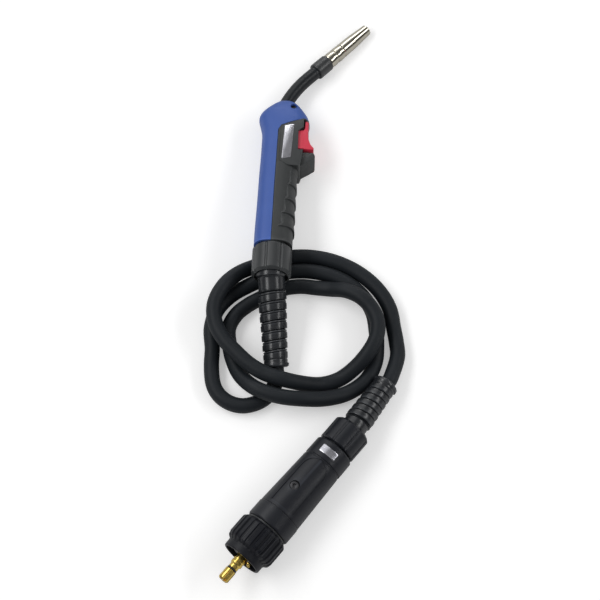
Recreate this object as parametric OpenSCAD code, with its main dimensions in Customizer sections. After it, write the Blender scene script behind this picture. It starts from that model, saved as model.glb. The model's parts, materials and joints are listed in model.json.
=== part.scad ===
// MIG/MAG welding torch with its coiled hose cable and Euro central plug.
// Millimetres, +Z up. The torch lies on its side, +Y points from its cable end to its head.

/* [Handle] */
// Length of the handle from its rear seam to the top of the head
handle_length = 181; // [170:1:190]
// Largest width of the handle at its rear end
handle_width = 39.5; // [37:0.5:40]
// Thickness of the handle at its rear end
handle_thickness = 37; // [35:0.5:38]
// Wall of the two handle shells
shell_wall = 2.6; // [2:0.1:3]
// Height of the raised block that carries the trigger and the plate
block_rise = 0.6; // [0.4:0.1:1.2]
// Height of the finger pads over the front shell
pad_rise = 1.2; // [0.6:0.1:2]
// Thickness of the bare plates
plate_thickness = 0.5; // [0.3:0.1:0.8]

/* [Trigger] */
// Width of the trigger across the handle
trigger_width = 15.6; // [12:0.2:16]
// Radius of the trigger's pivot pin
trigger_pin_r = 1.5; // [1.2:0.1:2]
// Length of the trigger's pivot pin
trigger_pin_length = 22; // [20:1:26]
// Radius of the switch button
button_r = 1.5; // [1.2:0.1:1.8]
// Width of the switch body across the handle
switch_width = 10; // [8:1:12]

/* [Neck] */
// Radius of the jacketed neck
neck_r = 7.1; // [6.5:0.1:7.5]
// Radius of the inner conductor tube
conductor_r = 5; // [4.5:0.1:5.5]
// Radius of the neck's bend
neck_bend_r = 120; // [100:5:140]
// Angle of the neck's bend
neck_bend = 18; // [14:1:22]
// Straight length of the neck after the bend
neck_tail = 14; // [10:1:20]
// Outer radius of the insulating collar at its rear
collar_r = 9.2; // [8.8:0.1:9.6]
// Length of the insulating collar
collar_length = 18.7; // [16:0.1:22]

/* [Gas nozzle] */
// Outer radius of the nozzle at its rear
nozzle_r = 8.25; // [8:0.05:8.6]
// Outer radius of the nozzle at its tip
nozzle_tip_r = 6.1; // [5.8:0.05:6.6]
// Length of the nozzle
nozzle_length = 62.8; // [56:0.2:70]
// Wall of the nozzle at its tip
nozzle_wall = 0.9; // [0.7:0.1:1.1]
// Radius of the insulating sleeve that the nozzle slides on
sleeve_r = 6.6; // [6.4:0.05:6.8]
// Radius of the contact tip
tip_r = 3; // [2.5:0.1:3.4]
// Radius of the wire bore
wire_bore_r = 0.6; // [0.5:0.05:0.8]
// How far the contact tip stays behind the nozzle's mouth
tip_recess = 1.5; // [0.5:0.5:4]

/* [Handle nut and bend relief] */
// Outer radius of the handle's union nut over its lobes
nut_r = 20.3; // [20:0.1:20.6]
// Length of the handle's union nut
nut_length = 32; // [30:1:33]
// Number of lobes round the handle's union nut
nut_lobes = 8; // [6:1:12]
// Inner radius of the handle's union nut
nut_bore_r = 17; // [16.6:0.1:17.2]
// Length of the handle's bend relief from its ball to its mouth
relief_length = 93; // [90:1:95]
// Outer radius of the smooth collar of the bend relief
relief_collar_r = 13.6; // [13:0.1:14]
// Outer radius of the relief's first rib
relief_rib_r = 14.3; // [13.8:0.1:14.6]
// Outer radius of the relief's mouth
relief_mouth_r = 12; // [11:0.1:12.6]
// Number of grooves in the handle's bend relief
relief_grooves = 7; // [5:1:9]
// Depth of the grooves
groove_depth = 1.7; // [1:0.1:2.4]

/* [Cable] */
// Outer diameter of the cable
cable_d = 15.5; // [14:0.1:15.6]
// Half width of the outermost turn, to the cable's middle
coil_half_width = 91.7; // [91.7:0.1:93]
// Half depth of the outermost turn, to the cable's middle
coil_half_depth = 79.7; // [79.7:0.1:81]

/* [Plug] */
// Length of the plug's housing
housing_length = 101.5; // [90:0.5:110]
// Outer radius of the housing next to the central nut
housing_front_r = 23; // [22:0.1:23.6]
// Outer radius of the housing at its cable end
housing_rear_r = 20.5; // [19.5:0.1:21]
// Wall of the housing
housing_wall = 2.6; // [2:0.1:3]
// Outer radius of the housing's union nut over its lobes
plug_nut_r = 19.5; // [19:0.1:20]
// Length of the housing's union nut
plug_nut_length = 27; // [24:1:27]
// Number of lobes round the housing's union nut
plug_nut_lobes = 8; // [6:1:12]
// Length of the plug's bend relief from its ball to its mouth
plug_relief_length = 68; // [66:1:68]
// Number of grooves in the plug's bend relief
plug_relief_grooves = 6; // [4:1:7]

/* [Central connector] */
// Outer radius of the central nut over its ribs
euro_nut_r = 25.2; // [24.8:0.1:25.4]
// Outer radius of the central nut's smooth front collar
euro_collar_r = 20.5; // [20:0.1:21.5]
// Length of the central nut
euro_nut_length = 35.5; // [34:0.5:37]
// Number of ribs round the central nut
euro_nut_ribs = 18; // [14:1:22]
// Inner radius of the central nut's cup
euro_cup_r = 18; // [17.8:0.1:18.4]
// Radius of the insulating face inside the cup
face_r = 12.5; // [12.2:0.1:12.8]
// Radius of the central stem
stem_r = 6; // [5.6:0.1:6.4]
// How far the stem stands out of the nut's front plane
stem_reach = 12; // [10:0.5:14]
// Radius of the liner nut
liner_nut_r = 5.4; // [4.8:0.1:5.5]
// Length of the liner nut
liner_nut_length = 12.4; // [10:0.2:14]
// Radius of a contact pin
contact_pin_r = 1.8; // [1.5:0.1:2]
// Distance of the contact pins from the stem's axis
contact_pin_x = 9; // [8.8:0.1:9.2]
// Distance between the two contact pins
contact_pin_gap = 7.2; // [6.8:0.2:7.6]

/* [Fits] */
// Radial clearance of a part that turns or slides
running_fit = 0.05; // [0.02:0.01:0.08]
// Gap between parts that only lie against each other
seat_gap = 0.3; // [0.2:0.05:0.4]
// Width of the grooves between the lobes of a union nut
lobe_groove_width = 2.8; // [2:0.1:4]
// Depth of the grooves between the lobes
lobe_groove_depth = 0.9; // [0.5:0.1:1.2]

/* [Hidden] */
$fn = 48;

// Where the torch and the plug lie
torch_seam = [-28, 42, 35.89];
torch_lean = 2;
torch_slope = 6;
plug_front = [-55.4, -272.4, 26.46];
plug_heading = 50.1;
plug_slope = 2.365;
model_shift = [-14.5, -122.66, 0];

// Handle stations: distance from the seam, back edge, front edge, half thickness
STATIONS = [
    [0, -19.3, 20.2, 18.5], [17, -19.2, 20.2, 18.5], [50, -18.4, 20.6, 18],
    [81, -17.9, 21.2, 17.6], [94, -17.6, 24, 17.4], [104, -17.3, 27.5, 17.3],
    [124, -17, 28, 17.3], [139, -17.2, 30, 17.2], [150, -19.4, 33, 17],
    [158, -21, 31.6, 16.5], [165, -17.6, 27.8, 15.6], [172, -10.4, 22.8, 13.6],
    [177, -4, 18, 11], [181, 1.5, 12.5, 6]];
station_length = 181;
station_width = 39.5;
station_thickness = 37;
length_scale = handle_length / station_length;
width_scale = handle_width / station_width;
thickness_scale = handle_thickness / station_thickness;
BODY = [for (s = STATIONS) [s[0] * length_scale, s[1] * width_scale,
                            s[2] * width_scale, s[3] * thickness_scale]];
section_power = 2.7;
section_sides = 20;
block_half = STATIONS[6][3] * thickness_scale + block_rise;
// Half height of a tool body that goes through the whole handle
beyond = 40;
// Corners of a section that lie on the finger side
pad_span = [for (k = [-4:4]) (k + section_sides) % section_sides];

// Seam between the back shell and the front shell, and the trigger block, in the handle's plane
function handle_point(p) = [p[0] * width_scale, p[1] * length_scale];
BACK_REGION = [for (p = [[-60, -20], [-1.4, -20], [-1.4, 0], [-0.8, 70], [0.5, 136], [3.5, 141.6],
                         [31.2, 154.1], [60, 167], [60, 230], [-60, 230]]) handle_point(p)];
BLOCK = [for (p = [[2.8, 97], [12, 91], [24, 90], [26.5, 100], [27, 110], [30, 149.5],
                   [26, 150.2], [6, 141.6], [3.2, 138]]) handle_point(p)];
GUARD = [for (p = [[20, 91], [26, 93.5], [33, 98], [39.6, 103], [40, 105.6], [38.6, 109.3],
                   [36.5, 110], [22, 110]]) handle_point(p)];
PLATE = [for (p = [[7.2, 140], [17.2, 142.2], [14.8, 100.2], [5.2, 98]]) handle_point(p)];
PAD_ENDS = [[17, 30], [33, 47], [50, 67], [70, 85]];

// Trigger, in the handle's plane; the nub meets the switch button
trigger_pivot = handle_point([23.5, 142.5]);
trigger_nub = handle_point([17.4, 120]);
nub_half = 1.6;
TRIGGER = [for (p = [[24.5, 147.6], [30.5, 147.6], [32.4, 146], [31.4, 136], [32.4, 126], [34.8, 118.5],
                     [38.4, 114.2], [38.2, 112.4], [34, 112.2], [25, 113], [22.6, 116]]) handle_point(p)];
trigger_inner = [for (p = [[21, 139.5], [21, 146]]) handle_point(p)];
slot_half = trigger_width / 2 + seat_gap + 0.2;
slot_low = handle_point([16, 110]);
slot_high = handle_point([40, 149]);
switch_front = trigger_nub[0] - seat_gap - 3;
switch_depth = 10;
switch_length = 16;
button_travel = 2.6;

// Screw in the head
head_screw = handle_point([15.6, 168.4]);
screw_head_r = 3.1;
screw_head_top = 9.5;
screw_shank_r = 1.5;

// Neck
neck_root = handle_point([7.8, 182.7]);
neck_heading = 66;
neck_inside = 30;
jacket_setback = 14;
neck_sides = 24;
arc_centre = neck_root + neck_bend_r * [cos(neck_heading - 90), sin(neck_heading - 90)];
head_heading = neck_heading - neck_bend;
arc_end = arc_centre + neck_bend_r * [cos(head_heading + 90), sin(head_heading + 90)];
collar_root = arc_end + neck_tail * [cos(head_heading), sin(head_heading)];
sleeve_length = 12;
diffuser_r = 4.8;
diffuser_start = 4;
diffuser_length = 38;
nozzle_start = collar_length + seat_gap;
nozzle_end = nozzle_start + nozzle_length;
diffuser_end = diffuser_start + diffuser_length;

// Rear spigot, handle nut and relief ball
spigot_r = nut_bore_r - running_fit;
spigot_length = 21;
spigot_inside = 12;
spigot_plug_r = handle_thickness / 2 - shell_wall - 0.4;
ball_r = 16.1;
ball_y = -31;
nut_start = -1.5;
nut_end = nut_start - nut_length;
nut_lip = 5;
nut_first_groove = -16;
relief_yaw = 3.3;
relief_pitch = 16;

// Cable
cable_r = cable_d / 2;
cable_bore_r = cable_r + 0.25;
cable_sides = 10;
end_sides = 20;
floor_z = 8;
stack_z = 24.5;
coil_centre = [1.5, -34.5];
coil_first = -15;
coil_last = 900;
coil_step = 15;
inward_scale = cable_d / 15.5;
// Turn angle, and how far the cable's middle lies inside the outermost turn
INWARD = [[-15, -1.6], [0, 0], [60, 16.2], [180, 16.2], [232, 0], [292, 0], [350, 16.5], [412, 33.5],
          [465, 33.5], [550, 14.5], [590, 16.5], [630, 17.5], [680, 17.5], [742, 0], [840, 0], [900, -2]];
// Turn angle, and the height of the cable's middle
HEIGHT = [[-15, floor_z], [237, floor_z], [276, stack_z], [291, stack_z], [329, floor_z],
          [466, floor_z], [508, stack_z], [562, stack_z], [604, floor_z], [608, floor_z],
          [646, 26.4], [700, 25.8], [750, 24.6], [786, floor_z], [900, floor_z]];
// The lead from the handle turns back under the coil; the lead to the plug swings outwards
HANDLE_LEAD = [[-27.5, -99.5, 8.4], [-36, -109.5, 8], [-47, -115, 8], [-59, -116.5, 8], [-71, -113, 8],
               [-81, -105, 8], [-87, -93, 8], [-89, -75, 8]];
PLUG_LEAD = [[97.5, -50, 8], [98, -66, 9]];

// Plug
housing_start = 37.5;
housing_end = housing_start + housing_length;
housing_spigot_r = 15.45;
housing_spigot_length = 17;
plug_nut_start = housing_end + 1.5;
plug_nut_end = plug_nut_start + plug_nut_length;
plug_ball_y = plug_nut_end - 8;
plug_ball_r = 13.3;
plug_relief_yaw = 4.4;
plug_relief_pitch = 3.1;
ring_start = housing_end - 20;
panel_start = housing_start + 17;
panel_end = housing_start + 80;
panel_half = 13;
panel_depth = 0.8;
housing_screw = [-4, housing_start + 45];
housing_screw_r = 4.3;

// Central connector
flange_start = 24;
flange_thickness = 3;
flange_r = euro_cup_r - 0.4;
sleeve_body_r = 15;
sleeve_body_end = 52;
face_front = 3;
cup_depth = flange_start + flange_thickness + seat_gap;
stem_neck_r = 3.4;
stem_core_r = 5;
liner_r = 2.2;
pin_front = -1.5;
pin_back = 13;
pin_travel = 3;
pin_bore_end = 23;

// ---------------------------------------------------------------- placing
function turn_z(p, a) = [p[0] * cos(a) - p[1] * sin(a), p[0] * sin(a) + p[1] * cos(a), p[2]];
function turn_x(p, a) = [p[0], p[1] * cos(a) - p[2] * sin(a), p[1] * sin(a) + p[2] * cos(a)];
function torch_at(p) = torch_seam + turn_z(turn_x(p, -torch_slope), -torch_lean);
function plug_at(p) = plug_front + turn_z(turn_x(p, -plug_slope), plug_heading - 90);

// Direction in which each relief leaves its ball, and the middle of its mouth
relief_dir = [cos(relief_pitch) * sin(relief_yaw), -cos(relief_pitch) * cos(relief_yaw), -sin(relief_pitch)];
relief_ball = torch_at([0, ball_y, 0]);
relief_mouth = relief_ball + relief_length * relief_dir;
plug_relief_heading = plug_heading + plug_relief_yaw;
plug_relief_drop = plug_slope + plug_relief_pitch;
plug_relief_dir = [cos(plug_relief_drop) * cos(plug_relief_heading),
                   cos(plug_relief_drop) * sin(plug_relief_heading), -sin(plug_relief_drop)];
plug_relief_ball = plug_at([0, plug_ball_y, 0]);
plug_relief_mouth = plug_relief_ball + plug_relief_length * plug_relief_dir;

module torch_place() {
    translate(model_shift + torch_seam) rotate([0, 0, -torch_lean]) rotate([-torch_slope, 0, 0]) children();
}

module plug_place() {
    translate(model_shift + plug_front) rotate([0, 0, plug_heading - 90]) rotate([-plug_slope, 0, 0]) children();
}

// Turns +Y to the direction in which a relief leaves its ball
module relief_place() {
    translate(model_shift + relief_ball) rotate([0, 0, 180 + relief_yaw]) rotate([-relief_pitch, 0, 0]) children();
}

module plug_relief_place() {
    translate(model_shift + plug_relief_ball) rotate([0, 0, plug_relief_heading - 90])
        rotate([-plug_relief_drop, 0, 0]) children();
}

// The neck's outer end, with +Y along the nozzle
module head_place() {
    torch_place() translate([collar_root[0], collar_root[1], 0]) rotate([0, 0, head_heading - 90]) children();
}

// ---------------------------------------------------------------- shared forms
// A cylinder along +Y from y0 to y1
module rod(y0, y1, r, r1 = undef) {
    translate([0, y0, 0]) rotate([-90, 0, 0])
        cylinder(h = y1 - y0, r1 = r, r2 = is_undef(r1) ? r : r1);
}

// Turns an outline of [radius, distance] points round the Y axis
module turned(points) {
    rotate([-90, 0, 0]) rotate_extrude() polygon(points);
}

// A nut with straight ribs from y0 to y1, bevelled at both ends
module ribbed_ring(y0, y1, r, ribs, rib_rise, bevel) {
    rib_width = PI * r / ribs * 1.05;
    intersection() {
        translate([0, y0, 0]) rotate([-90, 0, 0]) linear_extrude(height = y1 - y0) union() {
            circle(r = r - rib_rise);
            for (i = [0:ribs - 1]) rotate(i * 360 / ribs)
                translate([r / 2, 0]) square([r, rib_width], center = true);
        }
        turned([[0, y0], [r - bevel, y0], [r, y0 + bevel], [r, y1 - bevel], [r - bevel, y1], [0, y1]]);
    }
}

// A nut with broad lobes from y0 to y1, parted by narrow grooves; first turns the first groove from +Z
module lobed_ring(y0, y1, r, lobes, bevel, first) {
    difference() {
        turned([[0, y0], [r - bevel, y0], [r, y0 + bevel], [r, y1 - bevel], [r - bevel, y1], [0, y1]]);
        for (i = [0:lobes - 1]) rotate([0, first + i * 360 / lobes, 0])
            translate([-lobe_groove_width / 2, y0 - 1, r - lobe_groove_depth])
                cube([lobe_groove_width, y1 - y0 + 2, 2 * lobe_groove_depth]);
    }
}

// A bend relief from its ball at y = 0 to its mouth at y = reach
module bend_relief(reach, ball, collar, first_rib, mouth, grooves) {
    smooth_end = 17;
    flange = 8;
    pitch = (reach - smooth_end - flange) / grooves;
    function rib_r(y) = first_rib + (mouth - 0.4 - first_rib) * (y - smooth_end) / (reach - smooth_end);
    neck_angle = acos(collar / ball);
    ball_arc = [for (k = [0:8]) let (a = -30 + (30 + neck_angle) * k / 8) ball * [cos(a), sin(a)]];
    ribs = [for (i = [0:grooves - 1], k = [0:3])
        let (y = smooth_end + (i + [0.02, 0.3, 0.4, 0.98][k]) * pitch)
        [rib_r(y) - (k < 2 ? groove_depth : 0), y]];
    turned(concat([[cable_bore_r, reach], [cable_bore_r, 4], [ball * 0.8, -ball * 0.5]], ball_arc, [[collar, smooth_end]], ribs,
        [[mouth, reach - flange], [mouth, reach - 1], [mouth - 1, reach]]));
}

function smooth(t) = t * t * (3 - 2 * t);
function last_before(keys, a) = max([for (i = [0:len(keys) - 2]) if (i == 0 || keys[i][0] <= a) i]);
function keyed(keys, a) = let (i = last_before(keys, a), p = keys[i], q = keys[i + 1],
    t = min(1, max(0, (a - p[0]) / (q[0] - p[0])))) p[1] + (q[1] - p[1]) * smooth(t);
function bend(a, b, c, d, t) = 0.5 * (2 * b + (c - a) * t + (2 * a - 5 * b + 4 * c - d) * t * t
    + (3 * b - a - 3 * c + d) * t * t * t);
function before(points, i) = i > 0 ? points[i - 1] : 2 * points[0] - points[1];
function after(points, i) = i < len(points) ? points[i] : 2 * points[i - 1] - points[i - 2];
// Extra points on a smooth curve through the given ones
function curve(points, steps) = concat([for (i = [0:len(points) - 2], k = [0:steps - 1])
    bend(before(points, i), points[i], points[i + 1], after(points, i + 2), k / steps)],
    [points[len(points) - 1]]);
function unit(v) = v / norm(v);
function tangent(points, i) = unit(after(points, i + 1) - before(points, i));

// One ring of a tube, square to the run at point i
function ring(points, i, r, sides, way) = let (
    t = way == undef ? tangent(points, i) : way,
    side = unit(cross(t, abs(t[2]) > 0.9 ? [1, 0, 0] : [0, 0, 1])),
    top = cross(side, t)) [for (k = [0:sides - 1])
        points[i] + r * (cos(360 * (k + 0.5) / sides) * side + sin(360 * (k + 0.5) / sides) * top)];

// Faces between rings, closed at both ends; crescent rings are closed with strips from side to side
module skin(rings, crescent = false) {
    n = len(rings[0]);
    m = len(rings);
    strips = [for (i = [0:n / 2 - 2]) each [[i, i + 1, n - 2 - i], [i, n - 2 - i, n - 1 - i]]];
    last = (m - 1) * n;
    low_end = crescent ? [for (f = strips) [f[2], f[1], f[0]]] : [[for (k = [n - 1:-1:0]) k]];
    high_end = crescent ? [for (f = strips) [f[0] + last, f[1] + last, f[2] + last]] : [[for (k = [0:n - 1]) last + k]];
    walls = [for (i = [0:m - 2], k = [0:n - 1]) let (a = i * n + k, b = i * n + (k + 1) % n)
        each [[a, b, b + n], [a, b + n, a + n]]];
    polyhedron(points = [for (r = rings) each r], faces = concat(walls, low_end, high_end));
}

// A tube along points first to last; way0 and way1 turn its end faces
module tube(points, first, last, r, sides, way0 = undef, way1 = undef) {
    skin([for (i = [first:last])
        ring(points, i, r, sides, i == first ? way0 : (i == last ? way1 : undef))]);
}

// A wound spring along +Y
module spring(y0, y1, coil_r, wire_r, turns) {
    steps = turns * 8;
    points = [for (i = [0:steps]) let (a = 45 * i)
        [coil_r * cos(a), y0 + wire_r + (y1 - y0 - 2 * wire_r) * i / steps, coil_r * sin(a)]];
    tube(points, 0, steps, wire_r, 4);
}

// ---------------------------------------------------------------- torch head
module gas_nozzle() {
    band = nozzle_length / 6;
    color([0.78, 0.76, 0.72]) head_place() turned([
        [sleeve_r + running_fit, nozzle_start], [nozzle_r - 0.3, nozzle_start], [nozzle_r, nozzle_start + 0.6],
        [nozzle_r - 0.05, nozzle_start + band - 1], [nozzle_r - 0.55, nozzle_start + band],
        [nozzle_r - 0.15, nozzle_start + band + 1], [nozzle_r - 0.3, nozzle_start + 2 * band - 1],
        [nozzle_r - 0.85, nozzle_start + 2 * band], [nozzle_r - 0.45, nozzle_start + 2 * band + 1],
        [nozzle_tip_r, nozzle_end - 0.4], [nozzle_tip_r - 0.3, nozzle_end],
        [nozzle_tip_r - nozzle_wall, nozzle_end], [sleeve_r + running_fit, nozzle_start + sleeve_length + 8]]);
}

module nozzle_spring() {
    color("silver") head_place()
        spring(collar_length + sleeve_length + seat_gap, collar_length + sleeve_length + 7, 5.6, 0.4, 4);
}

module contact_tip() {
    tip_end = nozzle_end - tip_recess;
    color([0.72, 0.45, 0.2]) head_place() difference() {
        turned([[0, diffuser_end], [tip_r, diffuser_end], [tip_r, tip_end - 7], [tip_r * 0.62, tip_end], [0, tip_end]]);
        rod(diffuser_end - 1, tip_end + 1, wire_bore_r);
    }
}

module gas_diffuser() {
    color([0.8, 0.62, 0.25]) head_place() difference() {
        turned([[0, diffuser_start], [diffuser_r, diffuser_start], [diffuser_r, diffuser_end - 1.5],
                [diffuser_r - 1, diffuser_end], [0, diffuser_end]]);
        rod(diffuser_start - 1, diffuser_end - 6, 1.6);
        rod(diffuser_end - 7, diffuser_end + 1, wire_bore_r);
        for (a = [45:90:315]) rotate([0, a, 0]) translate([0, diffuser_end - 7.5, 0]) cylinder(h = 9, r = 0.8);
    }
}

module neck_collar() {
    color([0.08, 0.08, 0.09]) head_place() difference() {
        union() {
            turned([[0, 0], [collar_r - 0.6, 0], [collar_r, 0.8], [collar_r - 0.25, collar_length - 0.4],
                    [collar_r - 0.6, collar_length], [0, collar_length]]);
            rod(collar_length, collar_length + sleeve_length, sleeve_r);
        }
        rod(-1, diffuser_start, neck_r);
        rod(0, collar_length + sleeve_length + 1, diffuser_r);
    }
}

// A round bar along the neck, from depth inside the handle to the neck's end plus reach
module neck_bar(r, depth, reach) {
    steps = 6;
    arc = [for (k = [0:steps]) let (a = neck_heading + 90 - neck_bend * k / steps)
        [arc_centre[0] + neck_bend_r * cos(a), arc_centre[1] + neck_bend_r * sin(a), 0]];
    root_dir = [cos(neck_heading), sin(neck_heading), 0];
    head_dir = [cos(head_heading), sin(head_heading), 0];
    points = concat([arc[0] - depth * root_dir], arc, [arc[steps] + (neck_tail + reach) * head_dir]);
    tube(points, 0, steps + 2, r, neck_sides, root_dir, head_dir);
}

module swan_neck() {
    color([0.07, 0.07, 0.08]) torch_place() resize([0, 0, 0]) difference() {
        neck_bar(neck_r, neck_inside - jacket_setback, diffuser_start);
        neck_bar(conductor_r, neck_inside, diffuser_start + 1);
    }
}

module neck_conductor() {
    color([0.72, 0.45, 0.2]) torch_place() resize([0, 0, 0]) difference() {
        neck_bar(conductor_r, neck_inside - 2, diffuser_start);
        neck_bar(2.5, neck_inside, diffuser_start + 1);
    }
}

module neck_clamp() {
    clamp_length = 16;
    color([0.8, 0.62, 0.25]) torch_place()
        translate([neck_root[0], neck_root[1], 0]) rotate([0, 0, neck_heading - 90]) difference() {
            translate([-8.5, -neck_inside - 6, -8]) cube([17, clamp_length, 16]);
            rod(-neck_inside - 7, -neck_inside + 11, conductor_r);
        }
}

// ---------------------------------------------------------------- handle
// One rounded section of the handle, grown outwards by the given amount
function section(s, grow) = let (
    half = (s[2] - s[1]) / 2 + grow, high = s[3] + grow, middle = (s[1] + s[2]) / 2)
    [for (k = [0:section_sides - 1]) let (c = cos(360 * k / section_sides), v = sin(360 * k / section_sides))
        [middle + half * sign(c) * pow(abs(c), 2 / section_power), s[0],
         high * sign(v) * pow(abs(v), 2 / section_power)]];

// The handle's hollow
module handle_hollow() {
    finish = handle_length - 8;
    inner = [for (s = BODY) if (s[0] > 0 && s[0] < finish) s];
    last = inner[len(inner) - 1];
    skin([for (s = concat([[-1, BODY[0][1], BODY[0][2], BODY[0][3]]], inner,
        [[finish, last[1] + 4, last[2] - 4, last[3] - 2]])) section(s, -shell_wall)]);
}

// Way out for the neck
module neck_way() {
    translate([neck_root[0], neck_root[1], 0]) rotate([0, 0, neck_heading - 90]) rod(-24, 20, neck_r + seat_gap);
}

module flat(outline, half) {
    translate([0, 0, -half]) linear_extrude(height = 2 * half) polygon(outline);
}

module handle_back_shell() {
    color([0.16, 0.29, 0.6]) torch_place() difference() {
        resize([0, 0, 0]) difference() {
            intersection() {
                skin([for (s = curve(BODY, 2)) section(s, 0)]);
                flat(BACK_REGION, beyond);
            }
            handle_hollow();
            neck_way();
        }
        translate([head_screw[0], head_screw[1], screw_head_top - 3]) cylinder(h = 20, r = screw_head_r + seat_gap);
        translate([head_screw[0], head_screw[1], -10]) cylinder(h = 20, r = screw_shank_r);
    }
}

module handle_front_shell() {
    color([0.07, 0.07, 0.08]) torch_place() difference() {
        resize([0, 0, 0]) difference() {
            union() {
                difference() {
                    skin([for (s = curve(BODY, 2)) section(s, 0)]);
                    flat(BACK_REGION, beyond);
                }
                flat(BLOCK, block_half);
                flat(GUARD, slot_half + 1.6);
            }
            handle_hollow();
            neck_way();
            // Slot for the trigger
            translate([slot_low[0], slot_low[1], -slot_half])
                cube([slot_high[0] - slot_low[0], slot_high[1] - slot_low[1], 2 * slot_half]);
        }
        translate([trigger_pivot[0], trigger_pivot[1], -trigger_pin_length / 2])
            cylinder(h = trigger_pin_length, r = trigger_pin_r);
    }
}

function body_at(y) = let (i = last_before(BODY, y), p = BODY[i], q = BODY[i + 1])
    p + (q - p) * (y - p[0]) / (q[0] - p[0]);
// The front part of one section: an outer line over the pad, back along the shell; reach slants the ring
function pad_ring(y, rise, reach = 0) = let (outer = section(body_at(y), rise), inner = section(body_at(y + reach), 0.02))
    concat([for (k = pad_span) outer[k]], [for (k = [len(pad_span) - 1:-1:0]) inner[pad_span[k]]]);

module grip_pads() {
    color([0.1, 0.1, 0.11]) torch_place() for (e = PAD_ENDS) {
        low = e[0] * length_scale;
        high = e[1] * length_scale;
        slant = 0.6;
        skin([pad_ring(low, 0.2, -slant), pad_ring(low + 1.5, pad_rise), pad_ring((low + high) / 2, pad_rise * 0.7),
              pad_ring(high - 1.5, pad_rise), pad_ring(high, 0.2, slant)], true);
    }
}

module handle_plate() {
    color([0.75, 0.76, 0.78]) torch_place() translate([0, 0, block_half])
        linear_extrude(height = plate_thickness) polygon(PLATE);
}

module head_screw() {
    color([0.12, 0.12, 0.13]) torch_place() translate([head_screw[0], head_screw[1], 0]) difference() {
        union() {
            translate([0, 0, screw_head_top - 3]) cylinder(h = 3, r = screw_head_r);
            translate([0, 0, -9]) cylinder(h = 9 + screw_head_top - 3, r = screw_shank_r);
        }
        translate([0, 0, screw_head_top - 1.6]) cylinder(h = 2, r = 1.4, $fn = 6);
    }
}

module handle_spigot() {
    color([0.1, 0.1, 0.11]) torch_place() difference() {
        union() {
            rod(-spigot_length, 0, spigot_r);
            rod(0, spigot_inside, spigot_plug_r);
        }
        rod(-spigot_length - 1, spigot_inside + 1, cable_bore_r + 3);
        translate([0, ball_y, 0]) sphere(r = ball_r + seat_gap, $fn = 64);
    }
}

// ---------------------------------------------------------------- trigger and switch
module trigger() {
    outline = concat(TRIGGER, [[trigger_nub[0] + 4, trigger_nub[1] - nub_half],
        [trigger_nub[0], trigger_nub[1] - nub_half], [trigger_nub[0], trigger_nub[1] + nub_half],
        [trigger_nub[0] + 4, trigger_nub[1] + nub_half]], trigger_inner);
    color([0.78, 0.1, 0.13]) torch_place() difference() {
        flat(outline, trigger_width / 2);
        translate([trigger_pivot[0], trigger_pivot[1], -20]) cylinder(h = 40, r = trigger_pin_r + running_fit);
    }
}

module trigger_pin() {
    color("silver") torch_place() translate([trigger_pivot[0], trigger_pivot[1], -trigger_pin_length / 2])
        cylinder(h = trigger_pin_length, r = trigger_pin_r);
}

module trigger_spring() {
    spring_end = trigger_nub[0] + 3.7;
    color("silver") torch_place() translate([spring_end, trigger_nub[1] + 7, 0]) rotate([0, 0, 90])
        spring(0, spring_end - switch_front - seat_gap, 2.2, 0.35, 5);
}

module switch_body() {
    color([0.12, 0.12, 0.13]) torch_place() difference() {
        translate([switch_front - switch_depth, trigger_nub[1] - switch_length / 2, -switch_width / 2])
            cube([switch_depth, switch_length + 4, switch_width]);
        translate([switch_front + 1, trigger_nub[1], 0]) rotate([0, -90, 0])
            cylinder(h = 8, r = button_r + running_fit);
    }
}

module switch_button() {
    color([0.8, 0.1, 0.1]) torch_place() translate([trigger_nub[0] - seat_gap, trigger_nub[1], 0])
        rotate([0, -90, 0]) cylinder(h = 7, r = button_r);
}

// ---------------------------------------------------------------- handle nut and relief
module handle_nut() {
    color([0.08, 0.08, 0.09]) torch_place() difference() {
        lobed_ring(nut_end, nut_start, nut_r, nut_lobes, 2.4, nut_first_groove);
        rod(nut_end + nut_lip, nut_start + 1, nut_bore_r);
        rod(nut_end - 1, nut_end + nut_lip + 1, ball_r + seat_gap);
        rod(nut_end - 0.01, nut_end + 2, ball_r + 1.4, ball_r + seat_gap);
    }
}

module handle_relief() {
    color([0.06, 0.06, 0.07]) relief_place()
        bend_relief(relief_length, ball_r, relief_collar_r, relief_rib_r, relief_mouth_r, relief_grooves);
}

// ---------------------------------------------------------------- cable
function coil_point(a) = let (inward = keyed(INWARD, a) * inward_scale)
    [coil_centre[0] + (coil_half_width - inward) * cos(180 - a),
     coil_centre[1] + (coil_half_depth - inward) * sin(180 - a), keyed(HEIGHT, a)];
TURNS = [for (a = [coil_first:coil_step:coil_last]) coil_point(a)];
LEAD_IN = concat([relief_mouth, relief_mouth + cable_d * 0.7 * relief_dir], HANDLE_LEAD, [TURNS[0]]);
LEAD_OUT = concat([TURNS[len(TURNS) - 1]], PLUG_LEAD,
    [plug_relief_mouth + cable_d * 0.5 * plug_relief_dir, plug_relief_mouth]);
function tail(points) = [for (i = [1:len(points) - 1]) points[i]];
RUN = concat(LEAD_IN, tail(TURNS), tail(LEAD_OUT));
coil_start = len(LEAD_IN) - 1;
coil_end = coil_start + len(TURNS) - 1;
run_end = len(RUN) - 1;

// Least gap of the cable to itself, measured between points of a finer run
FINE = curve(RUN, 3);
near_skip = 14;
self_gap = min([for (i = [0:len(FINE) - near_skip - 1], j = [i + near_skip:len(FINE) - 1])
    norm(FINE[i] - FINE[j])]) - cable_d;
echo(least_gap_of_cable_to_itself = self_gap);

module cable_handle_end() {
    points = [torch_at([0, spigot_inside, 0]), relief_ball, relief_mouth];
    color([0.1, 0.1, 0.1]) translate(model_shift)
        tube(points, 0, 2, cable_r, end_sides, unit(relief_ball - points[0]), relief_dir);
}

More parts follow.
